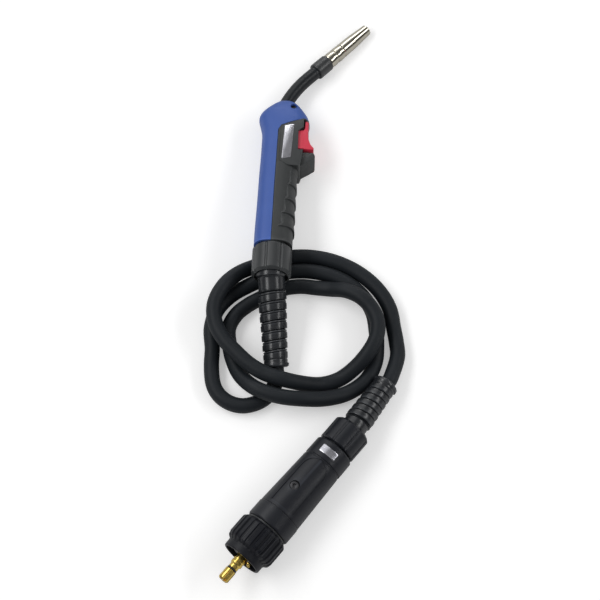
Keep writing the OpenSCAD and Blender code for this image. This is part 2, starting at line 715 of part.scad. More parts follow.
module cable_handle_lead() {
    color([0.1, 0.1, 0.1]) translate(model_shift) tube(RUN, 0, coil_start, cable_r, cable_sides, relief_dir);
}

module cable_coil() {
    color([0.1, 0.1, 0.1]) translate(model_shift) tube(RUN, coil_start, coil_end, cable_r, cable_sides);
}

module cable_plug_lead() {
    color([0.1, 0.1, 0.1]) translate(model_shift)
        tube(RUN, coil_end, run_end, cable_r, cable_sides, undef, -plug_relief_dir);
}

module cable_plug_end() {
    points = [plug_at([0, housing_end - 20, 0]), plug_relief_ball, plug_relief_mouth];
    color([0.1, 0.1, 0.1]) translate(model_shift)
        tube(points, 0, 2, cable_r, end_sides, unit(plug_relief_ball - points[0]), plug_relief_dir);
}

// ---------------------------------------------------------------- plug
module plug_relief() {
    color([0.06, 0.06, 0.07]) plug_relief_place()
        bend_relief(plug_relief_length, plug_ball_r, plug_ball_r - 0.8, relief_rib_r - 0.4, relief_mouth_r,
            plug_relief_grooves);
}

module plug_union_nut() {
    color([0.08, 0.08, 0.09]) plug_place() difference() {
        lobed_ring(plug_nut_start, plug_nut_end, plug_nut_r, plug_nut_lobes, 2, nut_first_groove);
        rod(plug_nut_start - 1, plug_nut_end - 9, housing_spigot_r + running_fit);
        rod(plug_nut_start, plug_nut_end + 1, plug_ball_r + seat_gap);
        rod(plug_nut_end - 5, plug_nut_end + 0.01, plug_ball_r + seat_gap, plug_ball_r + 2);
    }
}

// The whole housing as one hollow turned form
module housing_form() {
    difference() {
        union() {
            turned([[0, housing_start], [housing_front_r - 1.5, housing_start], [housing_front_r, housing_start + 1.5],
                    [housing_front_r - 0.2, housing_start + 8], [housing_front_r - 1, housing_start + 9],
                    [housing_rear_r, ring_start - 1], [housing_rear_r - 0.8, ring_start - 0.6],
                    [housing_rear_r - 0.8, ring_start + 0.6], [housing_rear_r + 0.1, ring_start + 1],
                    [housing_rear_r - 0.1, housing_end - 1.2], [housing_rear_r - 1.3, housing_end], [0, housing_end]]);
            rod(housing_end, housing_end + housing_spigot_length, housing_spigot_r);
        }
        turned([[0, housing_start + housing_wall], [housing_front_r - 1 - housing_wall, housing_start + housing_wall],
                [housing_rear_r - 0.8 - housing_wall, ring_start], [housing_rear_r - 0.8 - housing_wall, housing_end - 4],
                [0, housing_end - 4]]);
        rod(housing_start - 1, housing_start + housing_wall + 1, sleeve_body_r);
        rod(housing_end - 5, housing_end + housing_spigot_length + 1, cable_bore_r);
        rod(plug_ball_y - 12, housing_end + housing_spigot_length + 1, cable_bore_r, plug_ball_r - 0.6);
        translate([0, plug_ball_y, 0]) sphere(r = plug_ball_r + seat_gap, $fn = 64);
    }
}

// The sunk grip panel: a straight near end and a round far end
module grip_panel() {
    intersection() {
        difference() {
            rod(housing_start, ring_start, housing_front_r + 2);
            rod(housing_start, ring_start, housing_front_r - 1 - panel_depth, housing_rear_r - panel_depth - 0.2);
        }
        linear_extrude(height = 40) union() {
            translate([-panel_half, panel_start]) square([2 * panel_half, panel_end - panel_start - panel_half]);
            translate([0, panel_end - panel_half]) circle(r = panel_half);
        }
    }
}

module plug_housing_upper() {
    color([0.09, 0.09, 0.1]) plug_place() difference() {
        intersection() {
            housing_form();
            translate([-40, 0, 0]) cube([80, housing_end + 40, 40]);
        }
        grip_panel();
        translate([housing_screw[0], housing_screw[1], 14]) cylinder(h = 20, r = housing_screw_r + 0.6);
    }
}

module plug_housing_lower() {
    color([0.09, 0.09, 0.1]) plug_place() intersection() {
        housing_form();
        translate([-40, 0, -40]) cube([80, housing_end + 40, 40]);
    }
}

module plug_screw() {
    color([0.12, 0.12, 0.13]) plug_place() translate([housing_screw[0], housing_screw[1], 0]) difference() {
        union() {
            translate([0, 0, 14]) cylinder(h = 4.4, r = housing_screw_r);
            translate([0, 0, -17]) cylinder(h = 31, r = 2);
        }
        translate([0, 0, 16.4]) cylinder(h = 3, r = 2.2, $fn = 6);
    }
}

module plug_plate() {
    color([0.75, 0.76, 0.78]) plug_place() rotate([-90, 0, 0]) translate([0, 0, ring_start + 3.5])
        rotate([0, 0, -120]) rotate_extrude(angle = 60)
            translate([housing_rear_r + 0.1, 0]) square([plate_thickness, 13]);
}

// ---------------------------------------------------------------- central connector
module euro_nut() {
    color([0.07, 0.07, 0.08]) plug_place() difference() {
        union() {
            ribbed_ring(10, euro_nut_length, euro_nut_r, euro_nut_ribs, 1.6, 2.6);
            turned([[0, 0], [euro_collar_r - 0.8, 0], [euro_collar_r, 0.8], [euro_collar_r, 7],
                    [euro_nut_r - 1.8, 11.5], [0, 11.5]]);
        }
        rod(-1, cup_depth, euro_cup_r);
        rod(cup_depth - 1, euro_nut_length + 1, sleeve_body_r + running_fit);
        rod(euro_nut_length - 2, euro_nut_length + 0.01, sleeve_body_r + running_fit, sleeve_body_r + 2);
    }
}

module plug_body() {
    color([0.8, 0.62, 0.25]) plug_place() difference() {
        union() {
            rod(flange_start, flange_start + flange_thickness, flange_r);
            rod(flange_start, sleeve_body_end, sleeve_body_r);
        }
        rod(flange_start - 1, flange_start + flange_thickness + 5, stem_core_r);
        rod(flange_start + flange_thickness + 4, sleeve_body_end + 1, sleeve_body_r - 3);
    }
}

// Places children at both contact pins
module at_pins(which) {
    translate([contact_pin_x, 0, which * contact_pin_gap / 2]) children();
}

module plug_face() {
    color([0.08, 0.08, 0.09]) plug_place() difference() {
        turned([[0, face_front], [face_r - 0.8, face_front], [face_r, face_front + 0.8], [face_r, flange_start],
                [0, flange_start]]);
        rod(face_front - 1, flange_start + 1, stem_core_r);
        for (side = [-1, 1]) at_pins(side) rod(face_front - 1, pin_bore_end, contact_pin_r + running_fit);
    }
}

module plug_stem() {
    color([0.85, 0.66, 0.28]) plug_place() difference() {
        union() {
            rod(-stem_reach, face_front, stem_r);
            rod(face_front, flange_start + flange_thickness + 14, stem_core_r);
            rod(-stem_reach - liner_nut_length + 2, -stem_reach, stem_neck_r);
        }
        rod(-stem_reach - liner_nut_length, 60, liner_r + running_fit);
    }
}

module stem_ring() {
    color([0.05, 0.05, 0.05]) plug_place() translate([0, -stem_reach - 0.9, 0]) rotate([90, 0, 0])
        rotate_extrude() translate([stem_neck_r + 0.9, 0]) circle(r = 0.85);
}

module liner_nut() {
    front = -stem_reach - 1.8 - liner_nut_length;
    back = -stem_reach - 1.8;
    color([0.85, 0.66, 0.28]) plug_place() difference() {
        turned([[0, front], [liner_nut_r - 1.2, front], [liner_nut_r, front + 1.4], [liner_nut_r, front + 4],
                [liner_nut_r - 0.9, front + 4.6], [liner_nut_r - 0.9, front + 5.6], [liner_nut_r, front + 6.2],
                [liner_nut_r, back - 0.6], [liner_nut_r - 0.6, back], [0, back]]);
        rod(-stem_reach - liner_nut_length + 2 - seat_gap, back + 1, stem_neck_r + running_fit);
        rod(front - 1, back, 1.2);
        for (a = [0:60:120]) rotate([0, a, 0]) translate([-8, front - 1, -0.6]) cube([16, 3.4, 1.2]);
    }
}

module wire_liner() {
    color([0.6, 0.6, 0.62]) plug_place() difference() {
        rod(-stem_reach - liner_nut_length + 2, 46, liner_r);
        rod(-stem_reach - liner_nut_length, 50, 1.1);
    }
}

module contact_pin(which) {
    color([0.85, 0.66, 0.28]) plug_place() at_pins(which) {
        rod(pin_front + contact_pin_r, pin_back, contact_pin_r);
        translate([0, pin_front + contact_pin_r, 0]) sphere(r = contact_pin_r);
    }
}

module contact_spring(which) {
    color("silver") plug_place() at_pins(which)
        spring(pin_back + seat_gap, pin_bore_end - seat_gap, contact_pin_r - 0.5, 0.25, 5);
}

module contact_pin_upper() { contact_pin(1); }
module contact_pin_lower() { contact_pin(-1); }
module contact_spring_upper() { contact_spring(1); }
module contact_spring_lower() { contact_spring(-1); }

gas_nozzle();
nozzle_spring();
contact_tip();
gas_diffuser();
neck_collar();
swan_neck();
neck_conductor();
neck_clamp();
handle_back_shell();
handle_front_shell();
grip_pads();
handle_plate();
head_screw();
handle_spigot();
trigger();
trigger_pin();
trigger_spring();
switch_body();
switch_button();
handle_nut();
handle_relief();
cable_handle_end();
cable_handle_lead();
cable_coil();
cable_plug_lead();
cable_plug_end();
plug_relief();
plug_union_nut();
plug_housing_upper();
plug_housing_lower();
plug_screw();
plug_plate();
euro_nut();
plug_body();
plug_face();
plug_stem();
stem_ring();
liner_nut();
wire_liner();
contact_pin_upper();
contact_pin_lower();
contact_spring_upper();
contact_spring_lower();
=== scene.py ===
"""Dressed model of a gas-shielded welding torch: swan neck, handle, coiled cable and central plug.

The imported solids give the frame. Each sub-assembly below is a class that shapes its pieces in millimetres
on its own axes, lays them where the solids lie and gives them their finish.
"""

import json
import logging
import math
from dataclasses import dataclass
from enum import Enum
from typing import Callable, Optional, Sequence

import bmesh
import bpy
from mathutils import Matrix, Vector

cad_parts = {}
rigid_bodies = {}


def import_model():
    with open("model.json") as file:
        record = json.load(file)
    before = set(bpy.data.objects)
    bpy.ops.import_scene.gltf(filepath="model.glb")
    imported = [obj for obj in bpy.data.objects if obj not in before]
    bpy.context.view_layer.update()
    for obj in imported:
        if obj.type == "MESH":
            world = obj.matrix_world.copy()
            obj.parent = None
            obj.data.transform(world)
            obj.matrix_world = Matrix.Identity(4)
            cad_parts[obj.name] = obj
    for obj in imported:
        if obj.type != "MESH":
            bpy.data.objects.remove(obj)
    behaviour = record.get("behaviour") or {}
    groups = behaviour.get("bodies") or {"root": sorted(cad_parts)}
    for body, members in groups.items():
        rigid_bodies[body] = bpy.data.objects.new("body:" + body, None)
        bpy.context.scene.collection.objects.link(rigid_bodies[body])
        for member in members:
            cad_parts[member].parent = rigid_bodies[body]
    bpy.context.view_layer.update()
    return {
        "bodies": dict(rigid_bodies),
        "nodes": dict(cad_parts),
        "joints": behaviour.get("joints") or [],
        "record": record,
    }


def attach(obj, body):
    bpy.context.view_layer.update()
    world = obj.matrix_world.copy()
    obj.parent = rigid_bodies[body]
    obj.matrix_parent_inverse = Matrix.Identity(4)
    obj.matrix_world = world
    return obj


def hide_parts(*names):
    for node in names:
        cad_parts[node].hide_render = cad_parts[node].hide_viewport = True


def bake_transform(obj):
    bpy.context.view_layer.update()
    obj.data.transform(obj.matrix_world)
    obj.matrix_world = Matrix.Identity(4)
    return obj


log = logging.getLogger("torch")

MM = 0.001
MODEL_SHIFT = Vector((-14.5, -122.66, 0.0))
UPRIGHT = Matrix.Rotation(math.radians(90), 4, "X")
CABLE_BORE = 8.0
CLEAR = 0.05

# A Spot is a place or a colour. Corners are an outline, each with its rounding where it has a third number.
Point = tuple[float, float]
Spot = tuple[float, float, float]
Corners = tuple[tuple[float, ...], ...]
BMesh, BMVert, BMEdge = bmesh.types.BMesh, bmesh.types.BMVert, bmesh.types.BMEdge


# ---------------------------------------------------------------- where things lie
@dataclass(frozen=True)
class Lie:
    """A set of local axes in millimetres: where its origin is, its turn about Z and its tilt about X."""

    origin: Spot
    turn: float
    tilt: float

    def matrix(self) -> Matrix:
        """Local millimetres to the row frame's millimetres."""
        return (
            Matrix.Translation(Vector(self.origin) + MODEL_SHIFT)
            @ Matrix.Rotation(math.radians(self.turn), 4, "Z")
            @ Matrix.Rotation(math.radians(self.tilt), 4, "X")
        )

    def at(self, x: float, y: float, z: float) -> Vector:
        """A local point in the row frame's millimetres, without the model's shift."""
        return self.matrix() @ Vector((x, y, z)) - MODEL_SHIFT

    def way(self, x: float, y: float, z: float) -> Vector:
        """A local direction in the row frame."""
        return self.at(x, y, z) - self.at(0, 0, 0)


TORCH = Lie((-28.0, 42.0, 35.89), -2.0, -6.0)
PLUG_HEADING = 50.1
PLUG_SLOPE = 2.365
PLUG = Lie((-55.4, -272.4, 26.46), PLUG_HEADING - 90.0, -PLUG_SLOPE)
RELIEF_YAW, RELIEF_PITCH, RELIEF_LENGTH, RELIEF_BALL_Y = 3.3, 16.0, 93.0, -31.0
PLUG_RELIEF_YAW, PLUG_RELIEF_PITCH, PLUG_RELIEF_LENGTH, PLUG_BALL_Y = 4.4, 3.1, 68.0, 159.5
RELIEF = Lie(tuple(TORCH.at(0, RELIEF_BALL_Y, 0)), 180.0 + RELIEF_YAW, -RELIEF_PITCH)
PLUG_RELIEF = Lie(
    tuple(PLUG.at(0, PLUG_BALL_Y, 0)),
    PLUG_HEADING + PLUG_RELIEF_YAW - 90.0,
    -PLUG_SLOPE - PLUG_RELIEF_PITCH,
)


# ---------------------------------------------------------------- shaping helpers
def facing_out(bm: BMesh) -> BMesh:
    """Turns every face outwards and gives the mesh back."""
    bmesh.ops.recalc_face_normals(bm, faces=bm.faces)
    return bm


def mesh_of(name: str, bm: BMesh) -> bpy.types.Mesh:
    """Turns a bmesh into a mesh and frees it."""
    mesh = bpy.data.meshes.new(name)
    bm.to_mesh(mesh)
    bm.free()
    return mesh


def linked(name: str, data: bpy.types.ID) -> bpy.types.Object:
    """Makes an object of the data and puts it in the scene."""
    obj = bpy.data.objects.new(name, data)
    bpy.context.scene.collection.objects.link(obj)
    return obj


def turned(outline: Sequence[Point], steps: int, loop: bool = True) -> BMesh:
    """Spins an outline of (radius, distance) points round the Y axis.

    Args:
        outline: The points, in order. A loop is closed from the last to the first.
        steps: Facets round the axis.
        loop: Whether the outline closes on itself.

    Returns:
        A closed bmesh, or one open along the axis where the outline starts and ends on it.
    """
    bm = bmesh.new()
    verts = [bm.verts.new((r, y, 0.0)) for r, y in outline]
    edges = [bm.edges.new(pair) for pair in zip(verts, verts[1:])]
    if loop:
        edges.append(bm.edges.new((verts[-1], verts[0])))
    bmesh.ops.spin(
        bm, geom=verts + edges, cent=(0, 0, 0), axis=(0, 1, 0), angle=math.tau, steps=steps, use_merge=True
    )
    bmesh.ops.remove_doubles(bm, verts=bm.verts, dist=1e-4)
    return facing_out(bm)


def prism(outline: Sequence[Point], low: float, high: float) -> BMesh:
    """Extrudes a flat outline from one height to another.

    Args:
        outline: Corners in the XY plane, in order.
        low: Height of the lower face.
        high: Height of the upper face.

    Returns:
        A closed bmesh.
    """
    bm = bmesh.new()
    face = bm.faces.new([bm.verts.new((x, y, low)) for x, y in outline])
    raised = bmesh.ops.extrude_face_region(bm, geom=[face])["geom"]
    tops = [g for g in raised if isinstance(g, BMVert)]
    bmesh.ops.translate(bm, verts=tops, vec=(0, 0, high - low))
    return facing_out(bm)


def soften(bm: BMesh, width: float, angle: float, segments: int = 2) -> BMesh:
    """Bevels every edge that is sharper than an angle.

    Args:
        bm: The mesh to bevel.
        width: Width of the bevel in millimetres.
        angle: Least angle between the two faces, in degrees.
        segments: Strips across the bevel.

    Returns:
        The same mesh.
    """
    sharp = [e for e in bm.edges if e.is_manifold and e.calc_face_angle(0.0) > math.radians(angle)]
    if sharp:
        bmesh.ops.bevel(
            bm, geom=sharp, offset=width, offset_type="OFFSET", segments=segments, profile=0.5,
            affect="EDGES", clamp_overlap=True, material=-1,
        )
    return bm


def drawn_out(bm: BMesh, rim: Sequence[BMEdge]) -> tuple[set[BMVert], list[BMEdge]]:
    """Draws a rim of edges out in place; gives the new points and the new rim."""
    made = bmesh.ops.extrude_edge_only(bm, edges=rim)["geom"]
    verts = {g for g in made if isinstance(g, BMVert)}
    return verts, [g for g in made if isinstance(g, BMEdge) and set(g.verts) <= verts]


def capped(bm: BMesh) -> BMesh:
    """Closes the open ends, turns every face outwards and gives the mesh back."""
    bmesh.ops.holes_fill(bm, edges=[e for e in bm.edges if e.is_boundary], sides=0)
    return facing_out(bm)


def swept(path: Sequence[Vector], radius: float, sides: int) -> BMesh:
    """Carries a round section along a path without twist.

    Args:
        path: Points of the middle line.
        radius: Radius of the section.
        sides: Sides of the section.

    Returns:
        A closed bmesh with a UV map, u round the section and v along the path in millimetres.
    """
    bm = bmesh.new()
    bmesh.ops.create_circle(bm, cap_ends=False, radius=radius, segments=sides)
    around = bm.verts.layers.int.new("around")
    along = bm.verts.layers.float.new("along")
    for i, v in enumerate(bm.verts):
        v[around] = i
    frames = frames_along(path)
    bmesh.ops.transform(bm, matrix=frames[0], verts=bm.verts)
    rim = list(bm.edges)
    travelled = 0.0
    for i in range(1, len(path)):
        travelled += (path[i] - path[i - 1]).length
        verts, rim = drawn_out(bm, rim)
        for v in verts:
            v[along] = travelled
        bmesh.ops.transform(bm, matrix=frames[i] @ frames[i - 1].inverted(), verts=list(verts))
    capped(bm)
    uv = bm.loops.layers.uv.new("UVMap")
    for face in bm.faces:
        wraps = {lp.vert[around] for lp in face.loops} >= {0, sides - 1} and len(face.loops) == 4
        for lp in face.loops:
            side = lp.vert[around]
            lp[uv].uv = ((side + (sides if wraps and side == 0 else 0)) / sides, lp.vert[along])
    return bm


def ways_along(path: Sequence[Vector]) -> list[Vector]:
    """The direction of a path at each of its points."""
    last = len(path) - 1
    return [(path[min(i + 1, last)] - path[max(i - 1, 0)]).normalized() for i in range(last + 1)]


def frames_along(path: Sequence[Vector]) -> list[Matrix]:
    """Frames that follow a path with no twist, Z along it, one for each point."""
    ways = ways_along(path)
    turn = Vector((0, 0, 1)).rotation_difference(ways[0]).to_matrix()
    frames = []
    for i, point in enumerate(path):
        if i:
            turn = ways[i - 1].rotation_difference(ways[i]).to_matrix() @ turn
        frames.append(Matrix.Translation(point) @ turn.to_4x4())
    return frames


def bend(a: Vector, b: Vector, c: Vector, d: Vector, t: float) -> Vector:
    """The point at share t between b and c on the smooth curve through four points."""
    return 0.5 * (
        2 * b + (c - a) * t + (2 * a - 5 * b + 4 * c - d) * t * t + (3 * b - a - 3 * c + d) * t * t * t
    )


def curve(points: Sequence[Vector], steps: int) -> list[Vector]:
    """Extra points on a smooth curve through the given ones.

    Args:
        points: The points that the curve goes through.
        steps: New points for each stretch.

    Returns:
        The finer list, with both ends.
    """
    first = 2 * points[0] - points[1]
    last = 2 * points[-1] - points[-2]
    ends = [first, *points, last]
    fine = [
        bend(ends[i], ends[i + 1], ends[i + 2], ends[i + 3], k / steps)
        for i in range(len(points) - 1) for k in range(steps)
    ]
    return fine + [points[-1]]


def smooth(t: float) -> float:
    """Eases a share from 0 to 1."""
    t = min(1.0, max(0.0, t))
    return t * t * (3 - 2 * t)


def stretch_at(keys: Sequence[Sequence[float]], at: float) -> int:
    """The number of the stretch, between two keys sorted by their first value, that holds a place."""
    return max(j for j in range(len(keys) - 1) if j == 0 or keys[j][0] <= at)


def keyed(keys: Sequence[Point], at: float) -> float:
    """Reads an eased value between keys.

    Args:
        keys: Pairs of place and value, in order.
        at: The place.

    Returns:
        The value there.
    """
    i = stretch_at(keys, at)
    (a, low), (b, high) = keys[i], keys[i + 1]
    return low + (high - low) * smooth((at - a) / (b - a))


class Cut(Enum):
    """What a tool body does to the body it meets."""

    AWAY = "DIFFERENCE"
    COMMON = "INTERSECT"
    JOIN = "UNION"


def carved(body: BMesh, tools: Sequence[tuple[BMesh, Cut]]) -> BMesh:
    """Cuts, joins or crops a body with tool bodies, in order.

    Args:
        body: The body; it is freed.
        tools: Tool bodies and what each does; they are freed.

    Returns:
        The resulting bmesh.
    """
    made = [linked("scratch", mesh_of("scratch", bm)) for bm in [body, *(tool for tool, _ in tools)]]
    for tool, (_, cut) in zip(made[1:], tools):
        modifier = made[0].modifiers.new("cut", "BOOLEAN")
        modifier.object, modifier.operation, modifier.solver = tool, cut.value, "EXACT"
    graph = bpy.context.evaluated_depsgraph_get()
    result = bpy.data.meshes.new_from_object(made[0].evaluated_get(graph))
    out = bmesh.new()
    out.from_mesh(result)
    bpy.data.meshes.remove(result)
    for obj in made:
        mesh = obj.data
        bpy.data.objects.remove(obj)
        bpy.data.meshes.remove(mesh)
    return out


def joined(parts: Sequence[BMesh]) -> BMesh:
    """Puts several bodies into one mesh, each still closed by itself.

    Args:
        parts: The bodies; all but the first are freed.

    Returns:
        The first, with the others added.
    """
    for part in parts[1:]:
        mesh = mesh_of("scratch", part)
        parts[0].from_mesh(mesh)
        bpy.data.meshes.remove(mesh)
    return parts[0]


def piece(name: str, bm: BMesh, lie: Matrix, body: str, finish: "Finish",
          replaces: Sequence[str] = (), crease: float = 35.0) -> bpy.types.Object:
    """Lays a mesh in the row frame and makes it a piece of the model.

    Args:
        name: The piece's name.
        bm: Its mesh in local millimetres; it is freed.
        lie: Local millimetres to the row frame's millimetres.
        body: The body that it rides on; where empty, the piece rides on none.
        finish: Its finish.
        replaces: Nodes that it stands for.
        crease: Edges sharper than this many degrees stay sharp.

    Returns:
        The new object.
    """
    bmesh.ops.transform(bm, matrix=Matrix.Scale(MM, 4) @ lie, verts=bm.verts)
    mesh = mesh_of(name, bm)
    mesh.shade_smooth()
    mesh.set_sharp_from_angle(angle=math.radians(crease))
    obj = linked(name, mesh)
    mesh.materials.append(finish.material())
    if body:
        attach(obj, body)
    if replaces:
        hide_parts(*replaces)
    log.info("%s: %d faces on %s", name, len(mesh.polygons), body)
    return obj


# ---------------------------------------------------------------- finishes
GRAIN_DETAIL, CLOUD_DETAIL = 3.0, 2.0
GRAIN_HEIGHT = 0.0004
# Pointiness range, strength, lift and cap of the painted highlight that lightens convex edges.
EDGE_HIGHLIGHT_RANGE = (0.51, 0.60)
EDGE_HIGHLIGHT_GAIN = 1.2
EDGE_HIGHLIGHT_LIFT, EDGE_HIGHLIGHT_TOP = 0.01, 0.9


def grey(level: float) -> tuple[float, float, float, float]:
    """An opaque grey."""
    return (level, level, level, 1.0)


def add_nodes(tree: bpy.types.NodeTree, *kinds: str) -> list[bpy.types.Node]:
    """Adds a node of each kind, named without its ShaderNode prefix, to a tree."""
    return [tree.nodes.new(f"ShaderNode{kind}") for kind in kinds]


def preset(*rows: tuple) -> None:
    """Sets the inputs of nodes; a row says a node, an input and its value."""
    for node, entry, value in rows:
        node.inputs[entry].default_value = value


def wire(tree: bpy.types.NodeTree, *rows: tuple) -> None:
    """Links nodes; a row says a node, its output, the next node and its input."""
    for source, exit_name, target, entry in rows:
        tree.links.new(source.outputs[exit_name], target.inputs[entry])


def grain_group() -> bpy.types.NodeTree:
    """The fine grain of a moulded or ground surface, with a slow change of tone and a painted highlight on convex
    edges.

    Returns:
        A group with a Tone mask, a Rough mask, an EdgeHighlight mask for the painted highlight on convex edges, and a
        Normal.
    """
    name = "grain_and_edge_highlight"
    if name in bpy.data.node_groups:
        return bpy.data.node_groups[name]
    tree = bpy.data.node_groups.new(name, "ShaderNodeTree")
    for way, labels in (("INPUT", ("Scale", "Stretch", "Depth", "Cloud")),
                        ("OUTPUT", ("Tone", "Rough", "EdgeHighlight", "Normal"))):
        for label in labels:
            kind = "NodeSocketVector" if label in ("Stretch", "Normal") else "NodeSocketFloat"
            tree.interface.new_socket(label, in_out=way, socket_type=kind)
    inside, outside = tree.nodes.new("NodeGroupInput"), tree.nodes.new("NodeGroupOutput")
    # Pointiness lights convex edges, made patchy by the cloud noise: a painted highlight.
    place, stretch, fine, cloud, bump, form, lit_edge, patchy_highlight = add_nodes(
        tree, "TexCoord", "VectorMath", "TexNoise", "TexNoise", "Bump", "NewGeometry", "MapRange", "Math")
    stretch.operation, patchy_highlight.operation, lit_edge.interpolation_type = "MULTIPLY", "MULTIPLY", "SMOOTHSTEP"
    preset(
        (fine, "Detail", GRAIN_DETAIL), (cloud, "Detail", CLOUD_DETAIL), (bump, "Distance", GRAIN_HEIGHT),
        (lit_edge, "From Min", EDGE_HIGHLIGHT_RANGE[0]), (lit_edge, "From Max", EDGE_HIGHLIGHT_RANGE[1]))
    wire(
        tree, (form, "Pointiness", lit_edge, "Value"), (lit_edge, "Result", patchy_highlight, 0), (cloud, "Fac", patchy_highlight, 1),
        (patchy_highlight, 0, outside, "EdgeHighlight"), (place, "Object", stretch, 0), (inside, "Stretch", stretch, 1),
        (stretch, 0, fine, "Vector"), (inside, "Scale", fine, "Scale"), (place, "Object", cloud, "Vector"),
        (inside, "Cloud", cloud, "Scale"), (fine, "Fac", bump, "Height"), (inside, "Depth", bump, "Strength"),
        (cloud, "Fac", outside, "Tone"), (fine, "Fac", outside, "Rough"), (bump, "Normal", outside, "Normal"))
    return tree


@dataclass(frozen=True)
class Finish:
    """A surface finish: two tones of one colour, a range of roughness, a grain and a painted highlight on convex
    edges.
    """

    name: str
    dark: Spot
    light: Spot
    rough: Point
    grain: float = 900.0
    depth: float = 0.15
    cloud: float = 40.0
    stretch: Spot = (1.0, 1.0, 1.0)
    metal: float = 0.0
    gloss: float = 0.5
    sheen: float = 0.0
    # How much lighter the painted highlight on convex edges is than the light tone.
    edge_highlight: float = 2.2

    def material(self) -> bpy.types.Material:
        """Builds the finish's material, or finds the one already built."""
        name = f"{self.name}_finish"
        if name in bpy.data.materials:
            return bpy.data.materials[name]
        mat = bpy.data.materials.new(name)
        mat.use_nodes = True
        tree = mat.node_tree
        shader = tree.nodes["Principled BSDF"]
        grain, tone, rough, edge, share = add_nodes(tree, "Group", "Mix", "MapRange", "Mix", "Math")
        grain.node_tree = grain_group()
        tone.data_type, edge.data_type, share.operation, share.use_clamp = "RGBA", "RGBA", "MULTIPLY", True
        # Colour of the painted highlight on convex edges: the light tone made brighter, then capped.
        highlight_colour = [min(EDGE_HIGHLIGHT_TOP, c * self.edge_highlight + EDGE_HIGHLIGHT_LIFT) for c in self.light]
        preset(
            (grain, "Scale", self.grain), (grain, "Stretch", self.stretch), (grain, "Depth", self.depth),
            (grain, "Cloud", self.cloud), (tone, "A", (*self.dark, 1.0)), (tone, "B", (*self.light, 1.0)),
            (rough, "To Min", self.rough[0]), (rough, "To Max", self.rough[1]), (share, 1, EDGE_HIGHLIGHT_GAIN),
            (edge, "B", (*highlight_colour, 1.0)), (shader, "Metallic", self.metal),
            (shader, "Specular IOR Level", self.gloss), (shader, "Sheen Weight", self.sheen))
        wire(
            tree, (grain, "Tone", tone, "Factor"), (grain, "EdgeHighlight", share, 0), (share, 0, edge, "Factor"),
            (tone, "Result", edge, "A"), (edge, "Result", shader, "Base Color"), (grain, "Rough", rough, "Value"),
            (rough, "Result", shader, "Roughness"), (grain, "Normal", shader, "Normal"))
        return mat


# Each finish's edge_highlight sets how strongly its convex edges get a painted highlight.
HANDLE_BLUE = Finish("handle_blue", (0.042, 0.098, 0.355), (0.053, 0.117, 0.405), (0.36, 0.48), 1400, 0.12,
                     gloss=0.4, edge_highlight=1.25)
HANDLE_BLACK = Finish("handle_black", (0.028, 0.031, 0.032), (0.038, 0.041, 0.042), (0.40, 0.52), 1400, 0.2,
                      gloss=0.4)
PAD_RUBBER = Finish("pad_rubber", (0.026, 0.029, 0.030), (0.036, 0.039, 0.040), (0.40, 0.54), 1800, 0.25, gloss=0.4)
NUT_BLACK = Finish("nut_black", (0.028, 0.031, 0.033), (0.037, 0.040, 0.042), (0.30, 0.42), 1500, 0.15, gloss=0.5)
PLUG_BLACK = Finish("plug_black", (0.009, 0.010, 0.014), (0.013, 0.015, 0.020), (0.32, 0.44), 1500, 0.18, gloss=0.32)
CONNECTOR_BLACK = Finish("connector_black", (0.005, 0.006, 0.009), (0.009, 0.010, 0.014), (0.36, 0.48), 1500, 0.18,
                         gloss=0.24, edge_highlight=3.5)
RELIEF_RUBBER = Finish("relief_rubber", (0.013, 0.015, 0.018), (0.019, 0.021, 0.024), (0.20, 0.32), 1600, 0.12,
                       gloss=0.55, edge_highlight=3.0)
CABLE_RUBBER = Finish("cable_rubber", (0.008, 0.011, 0.014), (0.014, 0.017, 0.021), (0.44, 0.60), 1900, 0.3,
                      25.0, gloss=0.22, sheen=0.01)
NECK_BLACK = Finish("neck_black", (0.008, 0.010, 0.012), (0.014, 0.016, 0.018), (0.28, 0.38), 1200, 0.1, gloss=0.25)
COLLAR_BLACK = Finish("collar_black", (0.026, 0.028, 0.030), (0.036, 0.038, 0.040), (0.26, 0.38), 1200, 0.1, gloss=0.5)
TRIGGER_RED = Finish("trigger_red", (0.58, 0.030, 0.062), (0.68, 0.044, 0.082), (0.32, 0.42), 1500, 0.08, gloss=0.4,
                     edge_highlight=1.2)
NICKEL = Finish("nickel", (0.47, 0.44, 0.37), (0.55, 0.52, 0.44), (0.07, 0.13), 700, 0.015, metal=1.0, edge_highlight=1.2)
BRASS = Finish("turned_brass", (0.62, 0.44, 0.09), (0.78, 0.57, 0.17), (0.14, 0.30), 900, 0.1, metal=1.0, edge_highlight=1.2)
COPPER = Finish("drawn_copper", (0.62, 0.28, 0.14), (0.78, 0.38, 0.20), (0.22, 0.38), 900, 0.12, metal=1.0, edge_highlight=1.2)
SPRING_STEEL = Finish("spring_wire", (0.45, 0.45, 0.46), (0.60, 0.60, 0.61), (0.22, 0.35), 900, 0.1, metal=1.0,
                      edge_highlight=1.2)
SCREW_BLACK = Finish("blacked_screw", (0.05, 0.05, 0.055), (0.09, 0.09, 0.095), (0.3, 0.45), 900, 0.15, metal=0.6)
BARE_PLATE = Finish("bright_plate", (0.30, 0.30, 0.34), (0.66, 0.66, 0.70), (0.16, 0.30), 600, 0.12, 90.0,
                    (1.0, 12.0, 1.0), metal=0.85, edge_highlight=1.1)
SWITCH_GREY = Finish("moulded_grey", (0.04, 0.04, 0.045), (0.06, 0.06, 0.065), (0.45, 0.6), 1500, 0.1)


